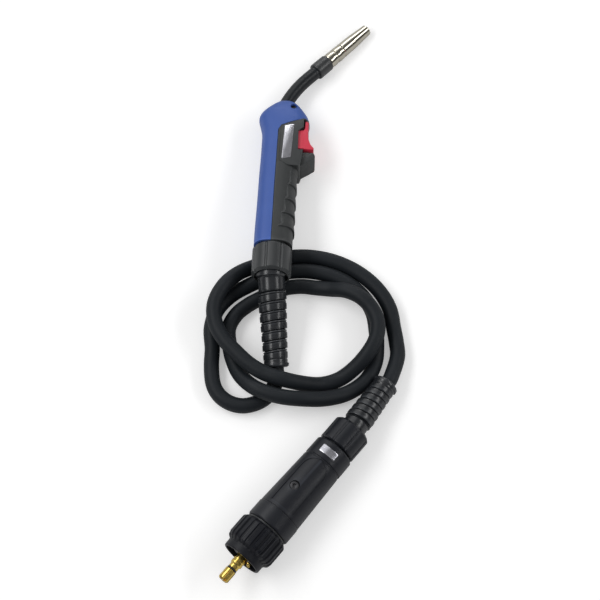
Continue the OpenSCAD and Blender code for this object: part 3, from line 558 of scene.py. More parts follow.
# ---------------------------------------------------------------- the cable
@dataclass
class Cable:
    """The hose cable: two leads and two and a half turns, wound in three layers where they cross."""

    diameter: float = 15.5
    centre: Point = (1.5, -34.5)
    half_width: float = 91.7
    half_depth: float = 79.7
    first: int = -15
    last: int = 900
    step: int = 15
    overlap: float = 6.0
    leave_handle: float = 0.7
    reach_plug: float = 0.5
    handle_inside: float = 12.0
    inner_gap: float = 0.5
    plug_sleeve_marks: Point = (34.0, 0.0)
    housing_inside: float = 119.0
    steps: int = 8
    hidden_steps: int = 5
    sleeved_steps: int = 6
    sides: int = 32
    inward: tuple[Point, ...] = (
        (-15, -1.6), (0, 0), (60, 16.2), (180, 16.2), (232, 0), (292, 0), (350, 16.5), (412, 33.5),
        (465, 33.5), (550, 14.5), (590, 16.5), (630, 17.5), (680, 17.5), (742, 0), (840, 0), (900, -2))
    height: tuple[Point, ...] = (
        (-15, 8), (237, 8), (276, 24.5), (291, 24.5), (329, 8), (466, 8), (508, 24.5), (562, 24.5),
        (604, 8), (608, 8), (646, 26.4), (700, 25.8), (750, 24.6), (786, 8), (900, 8))
    handle_lead: tuple[Spot, ...] = (
        (-27.5, -99.5, 8.4), (-36, -109.5, 8), (-47, -115, 8), (-59, -116.5, 8), (-71, -113, 8),
        (-81, -105, 8), (-87, -93, 8), (-89, -75, 8))
    plug_lead: tuple[Spot, ...] = ((97.5, -50, 8), (98, -66, 9))

    def coil_point(self, angle: float) -> Vector:
        """A point of the coil at a turn angle in degrees."""
        away = math.radians(180 - angle)
        drawn_in = keyed(self.inward, angle)
        return Vector((
            self.centre[0] + (self.half_width - drawn_in) * math.cos(away),
            self.centre[1] + (self.half_depth - drawn_in) * math.sin(away),
            keyed(self.height, angle),
        ))

    def route(self) -> list[Vector]:
        """The middle line from inside the handle's relief to inside the plug's housing, in millimetres."""
        out = RELIEF.way(0, 1, 0).normalized()
        mouth = RELIEF.at(0, RELIEF_LENGTH, 0)
        plug_out = PLUG_RELIEF.way(0, 1, 0).normalized()
        plug_mouth = PLUG_RELIEF.at(0, PLUG_RELIEF_LENGTH, 0)
        turns = [self.coil_point(a) for a in range(self.first, self.last + 1, self.step)]
        run = [mouth, mouth + self.leave_handle * self.diameter * out]
        run += [Vector(p) for p in self.handle_lead] + turns + [Vector(p) for p in self.plug_lead]
        run += [plug_mouth + self.reach_plug * self.diameter * plug_out, plug_mouth]
        hidden = [plug_mouth, *(PLUG_RELIEF.at(0, far, 0) for far in self.plug_sleeve_marks),
                  PLUG.at(0, self.housing_inside, 0)]
        return [mouth - self.overlap * out] + curve(run, self.steps) + curve(hidden, self.hidden_steps)[1:]

    def stretch(self, name: str, path: Sequence[Vector], nodes: Sequence[str]) -> bpy.types.Object:
        """Makes one stretch of cable.

        Args:
            name: The piece's name.
            path: Its middle line.
            nodes: The nodes that it stands for.

        Returns:
            Its piece.
        """
        bm = swept(path, self.diameter / 2, self.sides)
        return piece(name, bm, Matrix.Translation(MODEL_SHIFT), "root", CABLE_RUBBER, nodes, 60.0)

    def build(self, on_it: Sequence[bpy.types.Object]) -> None:
        """Args:
            on_it: The pieces that hang on its far end; not used.
        """
        sleeved = [TORCH.at(0, self.handle_inside, 0), RELIEF.at(0, 0, 0),
                   RELIEF.at(0, RELIEF_LENGTH - self.overlap - self.inner_gap, 0)]
        self.stretch("cable_in_handle", curve(sleeved, self.sleeved_steps), ("cable_handle_end",))
        path = self.route()
        obj = self.stretch(
            "cable", path, ("cable_handle_lead", "cable_coil", "cable_plug_lead", "cable_plug_end"))


# ---------------------------------------------------------------- turned and pressed forms
LEAST_HALF_ANGLE = 0.02
MOST_OF_SIDE = 0.42
HOLD_SHARE = 0.16
ROUND_STEPS = 4


def rounded(points: Sequence[tuple[float, ...]]) -> list[Point]:
    """Rounds the marked corners of a closed outline.

    Args:
        points: Corners as (a, b), left sharp, or (a, b, radius).

    Returns:
        The finer outline, with a point on each side of a round that holds the shading of the flat beside it.
    """
    out: list[Point] = []
    for i, point in enumerate(points):
        here = Vector(point[:2])
        if len(point) < 3:
            out.append((here.x, here.y))
            continue
        back, ahead = Vector(points[i - 1][:2]) - here, Vector(points[(i + 1) % len(points)][:2]) - here
        cut = min(point[2] / math.tan(max(back.angle(ahead) / 2, LEAST_HALF_ANGLE)),
                  MOST_OF_SIDE * back.length, MOST_OF_SIDE * ahead.length)
        start, end = here + back.normalized() * cut, here + ahead.normalized() * cut
        hold = HOLD_SHARE * cut
        spots = [start + back.normalized() * hold]
        for k in range(ROUND_STEPS + 1):
            t = k / ROUND_STEPS
            spots.append((1 - t) ** 2 * start + 2 * t * (1 - t) * here + t * t * end)
        spots.append(end + ahead.normalized() * hold)
        out += [(s.x, s.y) for s in spots]
    return out


def reshaped(bm: BMesh, rule: Callable[[float, float, float], Point]) -> BMesh:
    """Moves each point of a turned form to a new radius and distance.

    Args:
        bm: The form, turned round the Y axis.
        rule: Gives the new radius and distance for a radius, a distance and an angle from +Z towards +X.

    Returns:
        The same mesh.
    """
    for v in bm.verts:
        radius = math.hypot(v.co.x, v.co.z)
        wide, far = rule(radius, v.co.y, math.atan2(v.co.x, v.co.z))
        if radius > 1e-6:
            v.co.x *= wide / radius
            v.co.z *= wide / radius
        v.co.y = far
    bm.normal_update()
    return bm


def rod(low: float, high: float, radius: float, end_radius: Optional[float] = None,
        segments: int = 64) -> BMesh:
    """A plain tool body along +Y.

    Args:
        low: Where it starts.
        high: Where it ends.
        radius: Radius at its start.
        end_radius: Radius at its end; the same if left out.
        segments: Sides.

    Returns:
        A closed bmesh.
    """
    bm = bmesh.new()
    bmesh.ops.create_cone(
        bm, cap_ends=True, cap_tris=False, segments=segments, radius1=radius,
        radius2=radius if end_radius is None else end_radius, depth=high - low)
    lie = Matrix.Translation((0, (low + high) / 2, 0)) @ Matrix.Rotation(math.radians(-90), 4, "X")
    return facing_out(placed(bm, lie))


def block(low: Spot, high: Spot) -> BMesh:
    """A box between two corners."""
    bm = bmesh.new()
    size = Vector(high) - Vector(low)
    place = Matrix.Translation((Vector(low) + Vector(high)) / 2) @ Matrix.Diagonal((*size, 1.0))
    bmesh.ops.create_cube(bm, size=1.0, matrix=place)
    return bm


def placed(bm: BMesh, lie: Matrix) -> BMesh:
    """Moves a mesh by a matrix and gives it back."""
    bmesh.ops.transform(bm, matrix=lie, verts=bm.verts)
    return bm


def sheet(across: int, along: int) -> tuple[BMesh, set[BMVert]]:
    """A unit grid doubled into a closed sheet.

    Args:
        across: Parts along X.
        along: Parts along Y.

    Returns:
        The sheet, and its points of the first side.
    """
    bm = bmesh.new()
    bmesh.ops.create_grid(bm, x_segments=across, y_segments=along, size=0.5)
    first = set(bm.verts)
    bmesh.ops.extrude_face_region(bm, geom=list(bm.faces))
    return bm, first


def near(angle: float, pitch: float, first: float = 0.0) -> float:
    """The angle in degrees to the nearest of the marks that stand a pitch apart, the first of them given."""
    away = (math.degrees(angle) - first) % pitch
    return min(away, pitch - away)


def merged(frame: dict, node: str) -> BMesh:
    """A copy of a solid's mesh with its doubled points merged."""
    bm = bmesh.new()
    bm.from_mesh(frame["nodes"][node].data)
    bmesh.ops.remove_doubles(bm, verts=bm.verts, dist=2e-6)
    return bm


def refined(frame: dict, node: str, body: str, finish: Finish, width: float = 0.12,
            angle: float = 32.0) -> bpy.types.Object:
    """Replaces a small solid with a merged copy whose sharp edges are broken.

    Args:
        frame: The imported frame.
        node: The solid's node.
        body: The body that it rides on.
        finish: Its finish.
        width: Width of the broken edges in millimetres.
        angle: Edges sharper than this many degrees are broken.

    Returns:
        The new piece.
    """
    bm = merged(frame, node)
    bmesh.ops.dissolve_limit(bm, angle_limit=math.radians(1.0), verts=bm.verts, edges=bm.edges)
    placed(bm, Matrix.Scale(1 / MM, 4))
    soften(bm, width, angle)
    return piece(f"{node}_finished", bm, Matrix.Identity(4), body, finish, (node,), angle)


def dress(frame: dict, node: str, finish: Finish) -> None:
    """Gives a solid that stays its finish."""
    obj = frame["nodes"][node]
    for slot in obj.material_slots:
        slot.link = "OBJECT"
        slot.material = finish.material()
    log.info("%s: dressed with %s", node, finish.name)


def sprung(frame: dict, node: str, way: Vector) -> bpy.types.Object:
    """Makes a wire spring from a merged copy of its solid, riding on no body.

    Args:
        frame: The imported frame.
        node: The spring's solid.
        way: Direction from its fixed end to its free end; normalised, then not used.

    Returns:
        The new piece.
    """
    bm = placed(merged(frame, node), Matrix.Scale(1 / MM, 4))
    obj = piece(f"{node}_wire", bm, Matrix.Identity(4), "", SPRING_STEEL, (node,), 60.0)
    way = way.normalized()
    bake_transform(obj)
    return obj


# ---------------------------------------------------------------- shared sub-assemblies
@dataclass
class UnionNut:
    """A moulded union nut with broad lobes parted by narrow grooves."""

    name: str
    node: str
    lie: Lie
    start: float
    end: float
    radius: float
    bore: Corners
    finish: Finish = NUT_BLACK
    front_bevel: float = 1.8
    rear_bevel: float = 2.6
    lobes: int = 8
    first: float = -16.0
    groove_width: float = 2.8
    groove_depth: float = 0.9
    groove_floor: float = 0.45
    groove_flank: float = 0.75
    crown: float = 0.35
    edge_round: float = 0.7
    bevel_round: float = 1.2
    steps_of_lobe: int = 40

    def press(self, radius: float, far: float, angle: float) -> Point:
        """Sinks the grooves and crowns the lobes of a point on the outer side."""
        if radius < self.radius - max(self.front_bevel, self.rear_bevel) - 0.2:
            return radius, far
        pitch = 360.0 / self.lobes
        away = math.radians(near(angle, pitch, self.first)) * self.radius
        half = self.groove_width / 2
        sunk = self.groove_depth * (1 - smooth((away - half * self.groove_floor) / (half * self.groove_flank)))
        share = away / (math.radians(pitch / 2) * self.radius)
        return radius - sunk - self.crown * (1 - share) ** 2, far

    def build(self) -> bpy.types.Object:
        """Makes the nut.

        Returns:
            Its piece, riding on its own body.
        """
        outline = [
            (self.radius - self.rear_bevel, self.start, self.edge_round),
            (self.radius, self.start + self.rear_bevel, self.bevel_round),
            (self.radius, self.end - self.front_bevel, self.bevel_round),
            (self.radius - self.front_bevel, self.end, self.edge_round)]
        bm = turned(rounded([*self.bore, *outline]), self.steps_of_lobe * self.lobes)
        reshaped(bm, self.press)
        return piece(self.name, bm, self.lie.matrix(), self.node, self.finish, (self.node,))


@dataclass
class BendRelief:
    """A soft sleeve from its ball to its mouth: a smooth collar, slanting double grooves and an end flange."""

    name: str
    node: str
    lie: Lie
    reach: float
    ball: float
    collar: float
    first_rib: float
    mouth: float
    grooves: int
    cable_bore: float = CABLE_BORE
    bore_from: float = 4.0
    ball_mouth: Point = (0.8, -0.5)
    smooth_end: float = 17.0
    flange: float = 8.0
    depth: float = 2.0
    line: float = 1.15
    bead: float = 1.9
    slant: float = 0.12
    side_swell: float = 0.4
    swell_from: float = 0.84
    swell_way: float = 0.12
    fade: float = 6.0
    lug: float = 0.9
    lip: float = 0.8
    ball_from: float = -30.0
    ball_steps: int = 10
    neckline: tuple[Point, ...] = ((0.9, 0.9), (0.3, 1.9), (0.1, 3.4))
    shoulder: tuple[Point, ...] = ((0, -3.0), (-0.05, -1.0), (-0.3, -0.3))
    bead_marks: tuple[float, ...] = (0.15, 0.5, 0.85, 1.0)
    drops: tuple[float, ...] = (0.03, 1.0, 0.3, 0.08, -0.05, 0.08, 0.3, 1.0, 0.03)
    lands: tuple[Point, ...] = ((0.36, 0), (0.46, 0), (0.62, 0), (0.80, 0), (0.94, 0), (0.985, 0.12))
    flange_form: tuple[Point, ...] = ((-0.5, 0.3), (0, 0.9), (0, 2))
    mouth_form: tuple[Point, ...] = ((-0.1, 4.4), (0.35, 3.8), (0.35, 1.3), (-0.1, 0.4), (-0.9, 0))

    @property
    def pitch(self) -> float:
        """The way from one pair of grooves to the next."""
        return (self.reach - self.smooth_end - self.flange) / self.grooves

    def rib_radius(self, far: float) -> float:
        """Outer radius over the ribs at a distance from the ball."""
        share = (far - self.smooth_end) / (self.reach - self.smooth_end)
        return self.first_rib + (self.mouth - 0.4 - self.first_rib) * share

    def outline(self) -> list[Point]:
        """The sleeve's outline: bore, ball as far as the nut's lip, collar, double grooves and flange."""
        line = [(self.cable_bore, self.reach), (self.cable_bore, self.bore_from),
                (self.ball * self.ball_mouth[0], self.ball * self.ball_mouth[1])]
        last = math.degrees(math.asin(self.lip / self.ball))
        for k in range(self.ball_steps + 1):
            a = math.radians(self.ball_from + (last - self.ball_from) * k / self.ball_steps)
            line.append((self.ball * math.cos(a), self.ball * math.sin(a)))
        line += [(self.collar + rise, self.lip + far) for rise, far in self.neckline]
        line += [(self.collar + rise, self.smooth_end + far) for rise, far in self.shoulder]
        marks = [0.0, self.line / 2, self.line, *(self.line + share * self.bead for share in self.bead_marks)]
        marks += [1.5 * self.line + self.bead, 2 * self.line + self.bead]
        for i in range(self.grooves):
            base = self.smooth_end + i * self.pitch
            line += [(self.rib_radius(base + mark) - drop * self.depth, base + mark)
                     for mark, drop in zip(marks, self.drops)]
            line += [(self.rib_radius(base + share * self.pitch) - drop, base + share * self.pitch)
                     for share, drop in self.lands]
        line += [(self.mouth + rise, self.reach - self.flange + far) for rise, far in self.flange_form]
        return line + [(self.mouth + rise, self.reach - far) for rise, far in self.mouth_form]

    def press(self, radius: float, far: float, angle: float) -> Point:
        """Slants the grooves and swells the ribs at both sides of a point on the outer side."""
        half = self.fade / 2
        if radius < self.cable_bore + 0.5 or far < self.smooth_end - half:
            return radius, far
        fade = (smooth((far - self.smooth_end + half) / self.fade)
                * smooth((self.reach - self.flange - far + half) / self.fade))
        swell = smooth((abs(math.sin(angle)) - self.swell_from) / self.swell_way)
        ribbed = self.smooth_end < far < self.reach - self.flange
        proud = (far - self.smooth_end) % self.pitch > 2 * self.line + self.bead
        rise = 0.0
        if ribbed:
            rise = swell * (self.side_swell if proud else -self.side_swell / 2)
        elif far > self.reach - 4.0:
            rise = swell * self.lug * smooth((self.reach - far) / 2.0)
        return radius + rise, far + self.slant * math.sin(angle) * radius * fade

    def build(self) -> bpy.types.Object:
        """Makes the sleeve.

        Returns:
            Its piece.
        """
        bm = reshaped(turned(self.outline(), steps=112), self.press)
        return piece(self.name, bm, self.lie.matrix(), "root", RELIEF_RUBBER, (self.node,), 50.0)


# ---------------------------------------------------------------- the torch's head
@dataclass
class TorchHead:
    """The jacketed swan neck, its insulating collar and the plated gas nozzle."""

    root: Point = (7.8, 182.7)
    heading: float = 66.0
    bend: float = 18.0
    bend_radius: float = 120.0
    bend_steps: int = 24
    tail: float = 14.0
    inside: float = 16.0
    radius: float = 7.1
    bore: float = 5.15
    collar_radius: float = 9.2
    collar_length: float = 18.7
    sleeve_radius: float = 6.6
    sleeve_length: float = 12.0
    diffuser_radius: float = 4.8
    diffuser_start: float = 4.0
    nozzle_radius: float = 8.25
    tip_radius: float = 6.1
    nozzle_start: float = 19.0
    nozzle_length: float = 62.8
    wall: float = 0.9

    def middle(self) -> Vector:
        """The middle of the neck's bend."""
        way = math.radians(self.heading)
        return Vector((*self.root, 0.0)) + self.bend_radius * Vector((math.sin(way), -math.cos(way), 0.0))

    def axis(self) -> list[Vector]:
        """The neck's middle line in the torch's plane."""
        way = math.radians(self.heading)
        arc = []
        for k in range(self.bend_steps + 1):
            a = math.radians(self.heading + 90 - self.bend * k / self.bend_steps)
            arc.append(self.middle() + self.bend_radius * Vector((math.cos(a), math.sin(a), 0.0)))
        hidden = Vector((*self.root, 0.0)) - self.inside * Vector((math.cos(way), math.sin(way), 0.0))
        return [hidden, *arc, self.end(self.diffuser_start)]

    def end(self, beyond: float) -> Vector:
        """A point of the nozzle's axis, a given way beyond the collar's start."""
        out = math.radians(self.heading - self.bend)
        arc_end = self.middle() + self.bend_radius * Vector((-math.sin(out), math.cos(out), 0.0))
        return arc_end + (self.tail + beyond) * Vector((math.cos(out), math.sin(out), 0.0))

    def lie(self) -> Matrix:
        """Local axes of the nozzle, +Y along it, to the row frame's millimetres."""
        turn = Matrix.Rotation(math.radians(self.heading - self.bend - 90), 4, "Z")
        return TORCH.matrix() @ Matrix.Translation(self.end(0.0)) @ turn

    def neck(self) -> bpy.types.Object:
        """The jacket: a smooth bent tube."""
        path = self.axis()
        beyond = [path[0] * 2 - path[1], *path[1:-1], path[-1] * 2 - path[-2]]
        bm = carved(swept(path, self.radius, sides=56), [(swept(beyond, self.bore, sides=40), Cut.AWAY)])
        return piece("neck_jacket", bm, TORCH.matrix(), "root", NECK_BLACK, ("swan_neck",))

    def collar(self) -> bpy.types.Object:
        """The insulating collar and the sleeve that the nozzle slides on."""
        r, length, sleeve = self.collar_radius, self.collar_length, self.collar_length + self.sleeve_length
        outline = rounded([
            (self.radius + CLEAR, 0), (r - 0.5, 0, 0.5), (r, 1.2, 1.0), (r - 0.15, length - 0.9, 0.5),
            (r - 0.7, length, 0.3), (self.sleeve_radius, length), (self.sleeve_radius, sleeve, 0.4),
            (self.diffuser_radius, sleeve), (self.diffuser_radius, self.diffuser_start),
            (self.radius + CLEAR, self.diffuser_start)])
        return piece(
            "insulating_collar", turned(outline, steps=96), self.lie(), "root", COLLAR_BLACK,
            ("neck_collar",))

    def nozzle(self) -> bpy.types.Object:
        """The nozzle: two short bands parted by recessed grooves, then a long cone with a plain mouth."""
        start, end, r = self.nozzle_start, self.nozzle_start + self.nozzle_length, self.nozzle_radius
        band = self.nozzle_length / 6
        bore, tip = self.sleeve_radius + CLEAR, self.tip_radius
        outline = rounded([
            (bore, start), (r - 0.5, start, 0.35), (r - 0.1, start + 0.9, 0.4), (r, start + band / 2, 3.0),
            (r - 0.12, start + band - 1.5, 0.3), (r - 1.0, start + band - 0.9, 0.2),
            (r - 1.0, start + band + 0.5, 0.2), (r - 0.12, start + band + 1.1, 0.3),
            (r - 0.02, start + 1.5 * band, 3.0), (r - 0.2, start + 2 * band - 1.3, 0.3),
            (r - 1.1, start + 2 * band - 0.7, 0.2), (r - 1.1, start + 2 * band + 0.7, 0.2),
            (r - 0.22, start + 2 * band + 1.4, 0.4), (r - 0.62, start + 0.62 * self.nozzle_length, 18.0),
            (tip + 0.3, end - 6.0, 6.0), (tip, end - 0.5, 0.3),
            (tip - 0.3, end, 0.15), (tip - self.wall, end, 0.2), (bore, start + self.sleeve_length + 8, 1.0)])
        return piece(
            "plated_nozzle", turned(outline, steps=128), self.lie(), "gas_nozzle", NICKEL,
            ("gas_nozzle",), 40.0)


# ---------------------------------------------------------------- the handle
@dataclass
class Handle:
    """The two-shell handle: blue back shell, black front shell with trigger block, guard and finger pads."""

    stations: tuple[tuple[float, float, float, float], ...] = (
        (0, -19.3, 20.2, 18.5), (17, -19.2, 20.2, 18.5), (50, -18.4, 20.6, 18), (81, -17.9, 21.2, 17.6),
        (94, -17.6, 24, 17.4), (104, -17.3, 27.5, 17.3), (124, -17, 28, 17.3), (139, -17.2, 30, 17.2),
        (150, -19.4, 33, 17), (158, -21, 31.6, 16.5), (165, -17.6, 27.8, 15.6), (172, -10.4, 22.8, 13.6),
        (177, -4, 18, 11), (181, 1.5, 12.5, 6))
    power: float = 2.7
    sides: int = 72
    steps: int = 5
    wall: float = 2.6
    rise: float = 0.6
    block_station: int = 6
    hollow_end: float = 173.0
    hollow_tip: Spot = (4, -4, -2)
    seam: tuple[Point, ...] = (
        (-1.4, -20), (-1.4, 0), (-0.8, 70), (0.5, 136), (3.5, 141.6), (31.2, 154.1), (60, 167))
    seam_gap: float = 0.5
    beyond: Point = (60.0, 230.0)
    trigger_block: Corners = (
        (2.8, 97, 2), (12, 91, 4), (24, 90, 3), (26.5, 100, 4), (27, 110), (30, 149.5, 1), (26, 150.2, 1),
        (6, 141.6, 1.5), (3.2, 138, 2))
    guard: Corners = (
        (20, 91), (26, 93.5, 4), (33, 98, 5), (39.6, 103, 2), (40, 105.6, 1.5), (38.6, 109.3, 1), (36.5, 110, 0.6),
        (22, 110))
    plate: Corners = ((7.2, 140, 1.2), (17.2, 142.2, 1.2), (14.8, 100.2, 1.2), (5.2, 98, 1.2))
    plate_thickness: float = 0.5
    pads: tuple[Spot, ...] = ((16, 31, 84), (32, 48, 77), (49, 66.5, 69), (67.5, 85, 61))
    pad_rise: float = 1.5
    pad_foot: float = 0.35
    pad_skirt: float = 0.12
    pad_ledge: float = 0.05
    pad_slope: float = 0.8
    pad_side: float = 0.035
    slot_half: float = 8.3
    slot_low: Point = (16, 110)
    slot_high: Point = (40, 149)
    cheek_cut: tuple[Point, ...] = (
        (21.8, 110.4), (50, 110.4), (50, 148.4), (27.2, 148.4), (27.0, 139.2), (21.8, 134.5))
    solid_from: Point = (19.6, 107)
    guard_half: float = 13.0
    pocket: tuple[Point, ...] = ((15.9, 110.9), (28.6, 110.9), (28.6, 137.4), (17.6, 137.4))
    pocket_half: float = 16.1
    screw: Point = (15.6, 168.4)
    screw_radius: float = 3.1
    screw_top: float = 9.5
    screw_ledge: float = 14.2

    @property
    def block_half(self) -> float:
        """Half the thickness of the raised trigger block."""
        return self.stations[self.block_station][3] + self.rise

    def section(self, station: Sequence[float], angle: float, grow: float) -> Vector:
        """A point of one rounded section.

        Args:
            station: Distance, back edge, front edge and half thickness.
            angle: Angle in the section from the front edge towards +Z, in radians.
            grow: How far the section is grown outwards.

        Returns:
            The point in the torch's millimetres.
        """
        far, back, front, high = station
        c, s = math.cos(angle), math.sin(angle)
        share = 2 / self.power
        return Vector((
            (back + front) / 2 + ((front - back) / 2 + grow) * math.copysign(abs(c) ** share, c), far,
            (high + grow) * math.copysign(abs(s) ** share, s)))

    def station_at(self, far: float) -> Vector:
        """The section's sizes at a distance from the rear seam."""
        i = stretch_at(self.stations, far)
        a, b = Vector(self.stations[i]), Vector(self.stations[i + 1])
        return a + (b - a) * ((far - a[0]) / (b[0] - a[0]))

    def loft(self, stations: Sequence[Vector], grow: float) -> BMesh:
        """A closed body through a row of sections.

        Args:
            stations: The sections' sizes, in order.
            grow: How far each section is grown outwards.

        Returns:
            A closed bmesh.
        """
        bm = bmesh.new()
        bmesh.ops.create_circle(bm, cap_ends=False, radius=1.0, segments=self.sides)
        turn = bm.verts.layers.float.new("turn")
        for v in bm.verts:
            v[turn] = math.atan2(v.co.y, v.co.x)
            v.co = self.section(stations[0], v[turn], grow)
        rim = list(bm.edges)
        for station in stations[1:]:
            verts, rim = drawn_out(bm, rim)
            for v in verts:
                v.co = self.section(station, v[turn], grow)
        return capped(bm)

    def body(self) -> BMesh:
        """The handle's whole outer form."""
        return self.loft(curve([Vector(s) for s in self.stations], self.steps), 0.0)

    def hollow(self) -> BMesh:
        """The handle's hollow."""
        inner = [Vector(s) for s in self.stations if 0 < s[0] < self.hollow_end]
        first = Vector((-1, *self.stations[0][1:]))
        tip = Vector((self.hollow_end, *(size + more for size, more in zip(inner[-1][1:], self.hollow_tip))))
        return self.loft([first, *inner, tip], -self.wall)

    def neck_way(self) -> BMesh:
        """The way out for the neck."""
        head = TorchHead()
        lie = Matrix.Translation((*head.root, 0.0)) @ Matrix.Rotation(math.radians(head.heading - 90), 4, "Z")
        return placed(rod(-24, 20, head.radius + 0.3), lie)

    def back_region(self, gap: float) -> BMesh:
        """The space behind the seam, drawn in by a gap, or grown where the gap is negative."""
        path = [Vector(p) for p in self.seam]
        edge = [tuple(p + gap * Vector((-way.y, way.x))) for p, way in zip(path, ways_along(path))]
        wide, high = self.beyond
        return prism([(-wide, -20.0), *edge, (wide, high), (-wide, high)], -40, 40)

    def screw_way(self) -> list[tuple[BMesh, Cut]]:
        """Tools that sink the screw's seat into the head."""
        seats = ((self.screw_radius + 0.35, self.screw_top - 3), (self.screw_radius + 1.5, self.screw_ledge))
        return [(placed(placed(rod(0, 20, radius), UPRIGHT), Matrix.Translation((*self.screw, low))), Cut.AWAY)
                for radius, low in seats]

    def back_shell(self) -> bpy.types.Object:
        """The blue shell with the head and the screw's seat."""
        bm = carved(self.body(), [
            (self.back_region(self.seam_gap / 2), Cut.COMMON), (self.hollow(), Cut.AWAY),
            (self.neck_way(), Cut.AWAY), *self.screw_way()])
        return piece("blue_back_shell", bm, TORCH.matrix(), "root", HANDLE_BLUE,
                     ("handle_back_shell",), 38.0)

    def front_shell(self) -> bpy.types.Object:
        """The black shell with the raised trigger block, the guard and the trigger's open-sided slot."""
        half = self.block_half
        raised = soften(prism(rounded(self.trigger_block), -half, half), width=0.7, angle=50.0, segments=3)
        shelf = prism(rounded(self.guard), -self.guard_half, self.guard_half)
        soften(shelf, width=1.6, angle=50.0, segments=4)
        slot = block((*self.slot_low, -self.slot_half), (*self.slot_high, self.slot_half))
        hollow = carved(self.hollow(), [(block((*self.solid_from, -30), (60, self.slot_high[1] + 0.2, 30)), Cut.AWAY)])
        bm = carved(self.body(), [
            (self.back_region(-self.seam_gap / 2), Cut.AWAY), (raised, Cut.JOIN), (shelf, Cut.JOIN),
            (prism(self.cheek_cut, -30, 30), Cut.AWAY), (hollow, Cut.AWAY), (self.neck_way(), Cut.AWAY),
            (slot, Cut.AWAY), (prism(self.pocket, -self.pocket_half, self.pocket_half), Cut.AWAY)])
        return piece("black_front_shell", bm, TORCH.matrix(), "root", HANDLE_BLACK,
                     ("handle_front_shell",), 38.0)

    def pad_height(self, along: float, round_share: float) -> float:
        """Rise of a pad at a share of its length and of its span, each from 0 to 1."""
        ledge = smooth(along / self.pad_ledge) * smooth((1 - along) / self.pad_ledge)
        slope = self.pad_rise - (self.pad_rise - self.pad_foot) * smooth((along - self.pad_ledge) / self.pad_slope)
        side = smooth(min(round_share, 1 - round_share) / self.pad_side)
        return self.pad_skirt + (slope - self.pad_skirt) * ledge * (0.1 + 0.9 * side)

    def pad(self, low: float, high: float, span: float) -> BMesh:
        """One finger pad: a curved patch that stands on the front shell, highest at its lower ledge.

        Args:
            low: Where it starts.
            high: Where it ends.
            span: Half its turn round the handle, in degrees from the front edge.

        Returns:
            A closed bmesh.
        """
        bm, hidden = sheet(across=72, along=40)
        for v in bm.verts:
            share, along = v.co.x + 0.5, v.co.y + 0.5
            lift = -0.5 if v in hidden else self.pad_height(along, share)
            reach = span * (0.9 + 0.1 * (1 - smooth(along / 0.35)))
            angle = math.radians(reach * (2 * share - 1))
            v.co = self.section(self.station_at(low + (high - low) * along), angle, lift)
        return facing_out(bm)

    def build(self, frame: dict) -> None:
        """Makes the handle.

        Args:
            frame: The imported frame.
        """
        half = self.block_half
        plate = soften(prism(rounded(self.plate), half, half + self.plate_thickness), width=0.14, angle=60.0)
        self.back_shell()
        self.front_shell()
        piece("finger_pads", joined([self.pad(*p) for p in self.pads]), TORCH.matrix(), "root", PAD_RUBBER,
              ("grip_pads",), 60.0)
        piece("side_plate", plate, TORCH.matrix(), "root", BARE_PLATE, ("handle_plate",))
        refined(frame, "head_screw", "root", SCREW_BLACK, 0.25)
        refined(frame, "handle_spigot", "root", HANDLE_BLACK, 0.2)


@dataclass
class TriggerSet:
    """The red trigger with its pin, and the switch that it presses."""

    outline: Corners = (
        (24.5, 147.2, 0.6), (30.0, 147.2, 1), (31.6, 145.8, 1.5), (30.6, 136, 12), (31.6, 126, 8), (34.0, 118.5, 8),
        (37.4, 114.4, 1.6), (37.2, 112.8, 0.7), (34, 112.6, 1), (25, 113.2, 0.8), (22.6, 116, 1), (21.4, 118.4),
        (17.4, 118.4, 0.3), (17.4, 121.6, 0.3), (21.4, 121.6), (21, 139.5), (21, 146, 1))
    face: Corners = (
        (28.5, 147.0, 0.8), (30.5, 147.6, 1), (32.4, 146, 1.5), (31.4, 136, 12), (32.4, 126, 8), (34.8, 118.5, 8),
        (38.4, 114.2, 1.6), (38.2, 112.4, 0.7), (34, 112.2, 1), (27.4, 113.0, 1.2), (25.8, 134, 3), (28.5, 138.6, 3))
    width: float = 15.6
    side: Corners = (
        (30.0, 113.2, 0.5), (19.6, 113.6, 0.8), (19.8, 135.6, 0.8), (30.0, 136.4, 0.5))
    side_thickness: float = 2.0
    side_inset: float = 0.25
    face_width: float = 31.0
    face_edge: float = 1.2
    edge: float = 0.9
    pivot: Point = (23.5, 142.5)
    pin_radius: float = 1.5

    def build(self, frame: dict) -> None:
        """Makes the trigger and dresses what it works on.

        Args:
            frame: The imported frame.
        """
        half, wide = self.width / 2, self.face_width / 2
        lever = soften(prism(rounded(self.outline), -half, half), self.edge, angle=60.0, segments=3)
        front = soften(prism(rounded(self.face), -wide, wide), self.face_edge, angle=60.0, segments=4)
        reach = wide - self.side_inset
        sides = [(prism(rounded(self.side), *sorted((way * reach, way * (reach - self.side_thickness)))), Cut.JOIN)
                 for way in (-1, 1)]
        hole = placed(rod(-20, 20, self.pin_radius + CLEAR, segments=32), UPRIGHT)
        placed(hole, Matrix.Translation((*self.pivot, 0.0)))
        lever = carved(lever, [(front, Cut.JOIN), *sides, (hole, Cut.AWAY)])
        piece("red_trigger", lever, TORCH.matrix(), "trigger", TRIGGER_RED, ("trigger",))
        refined(frame, "trigger_pin", "root", SPRING_STEEL)
        refined(frame, "switch_body", "root", SWITCH_GREY, 0.3)
        refined(frame, "switch_button", "switch_button", TRIGGER_RED, 0.2)


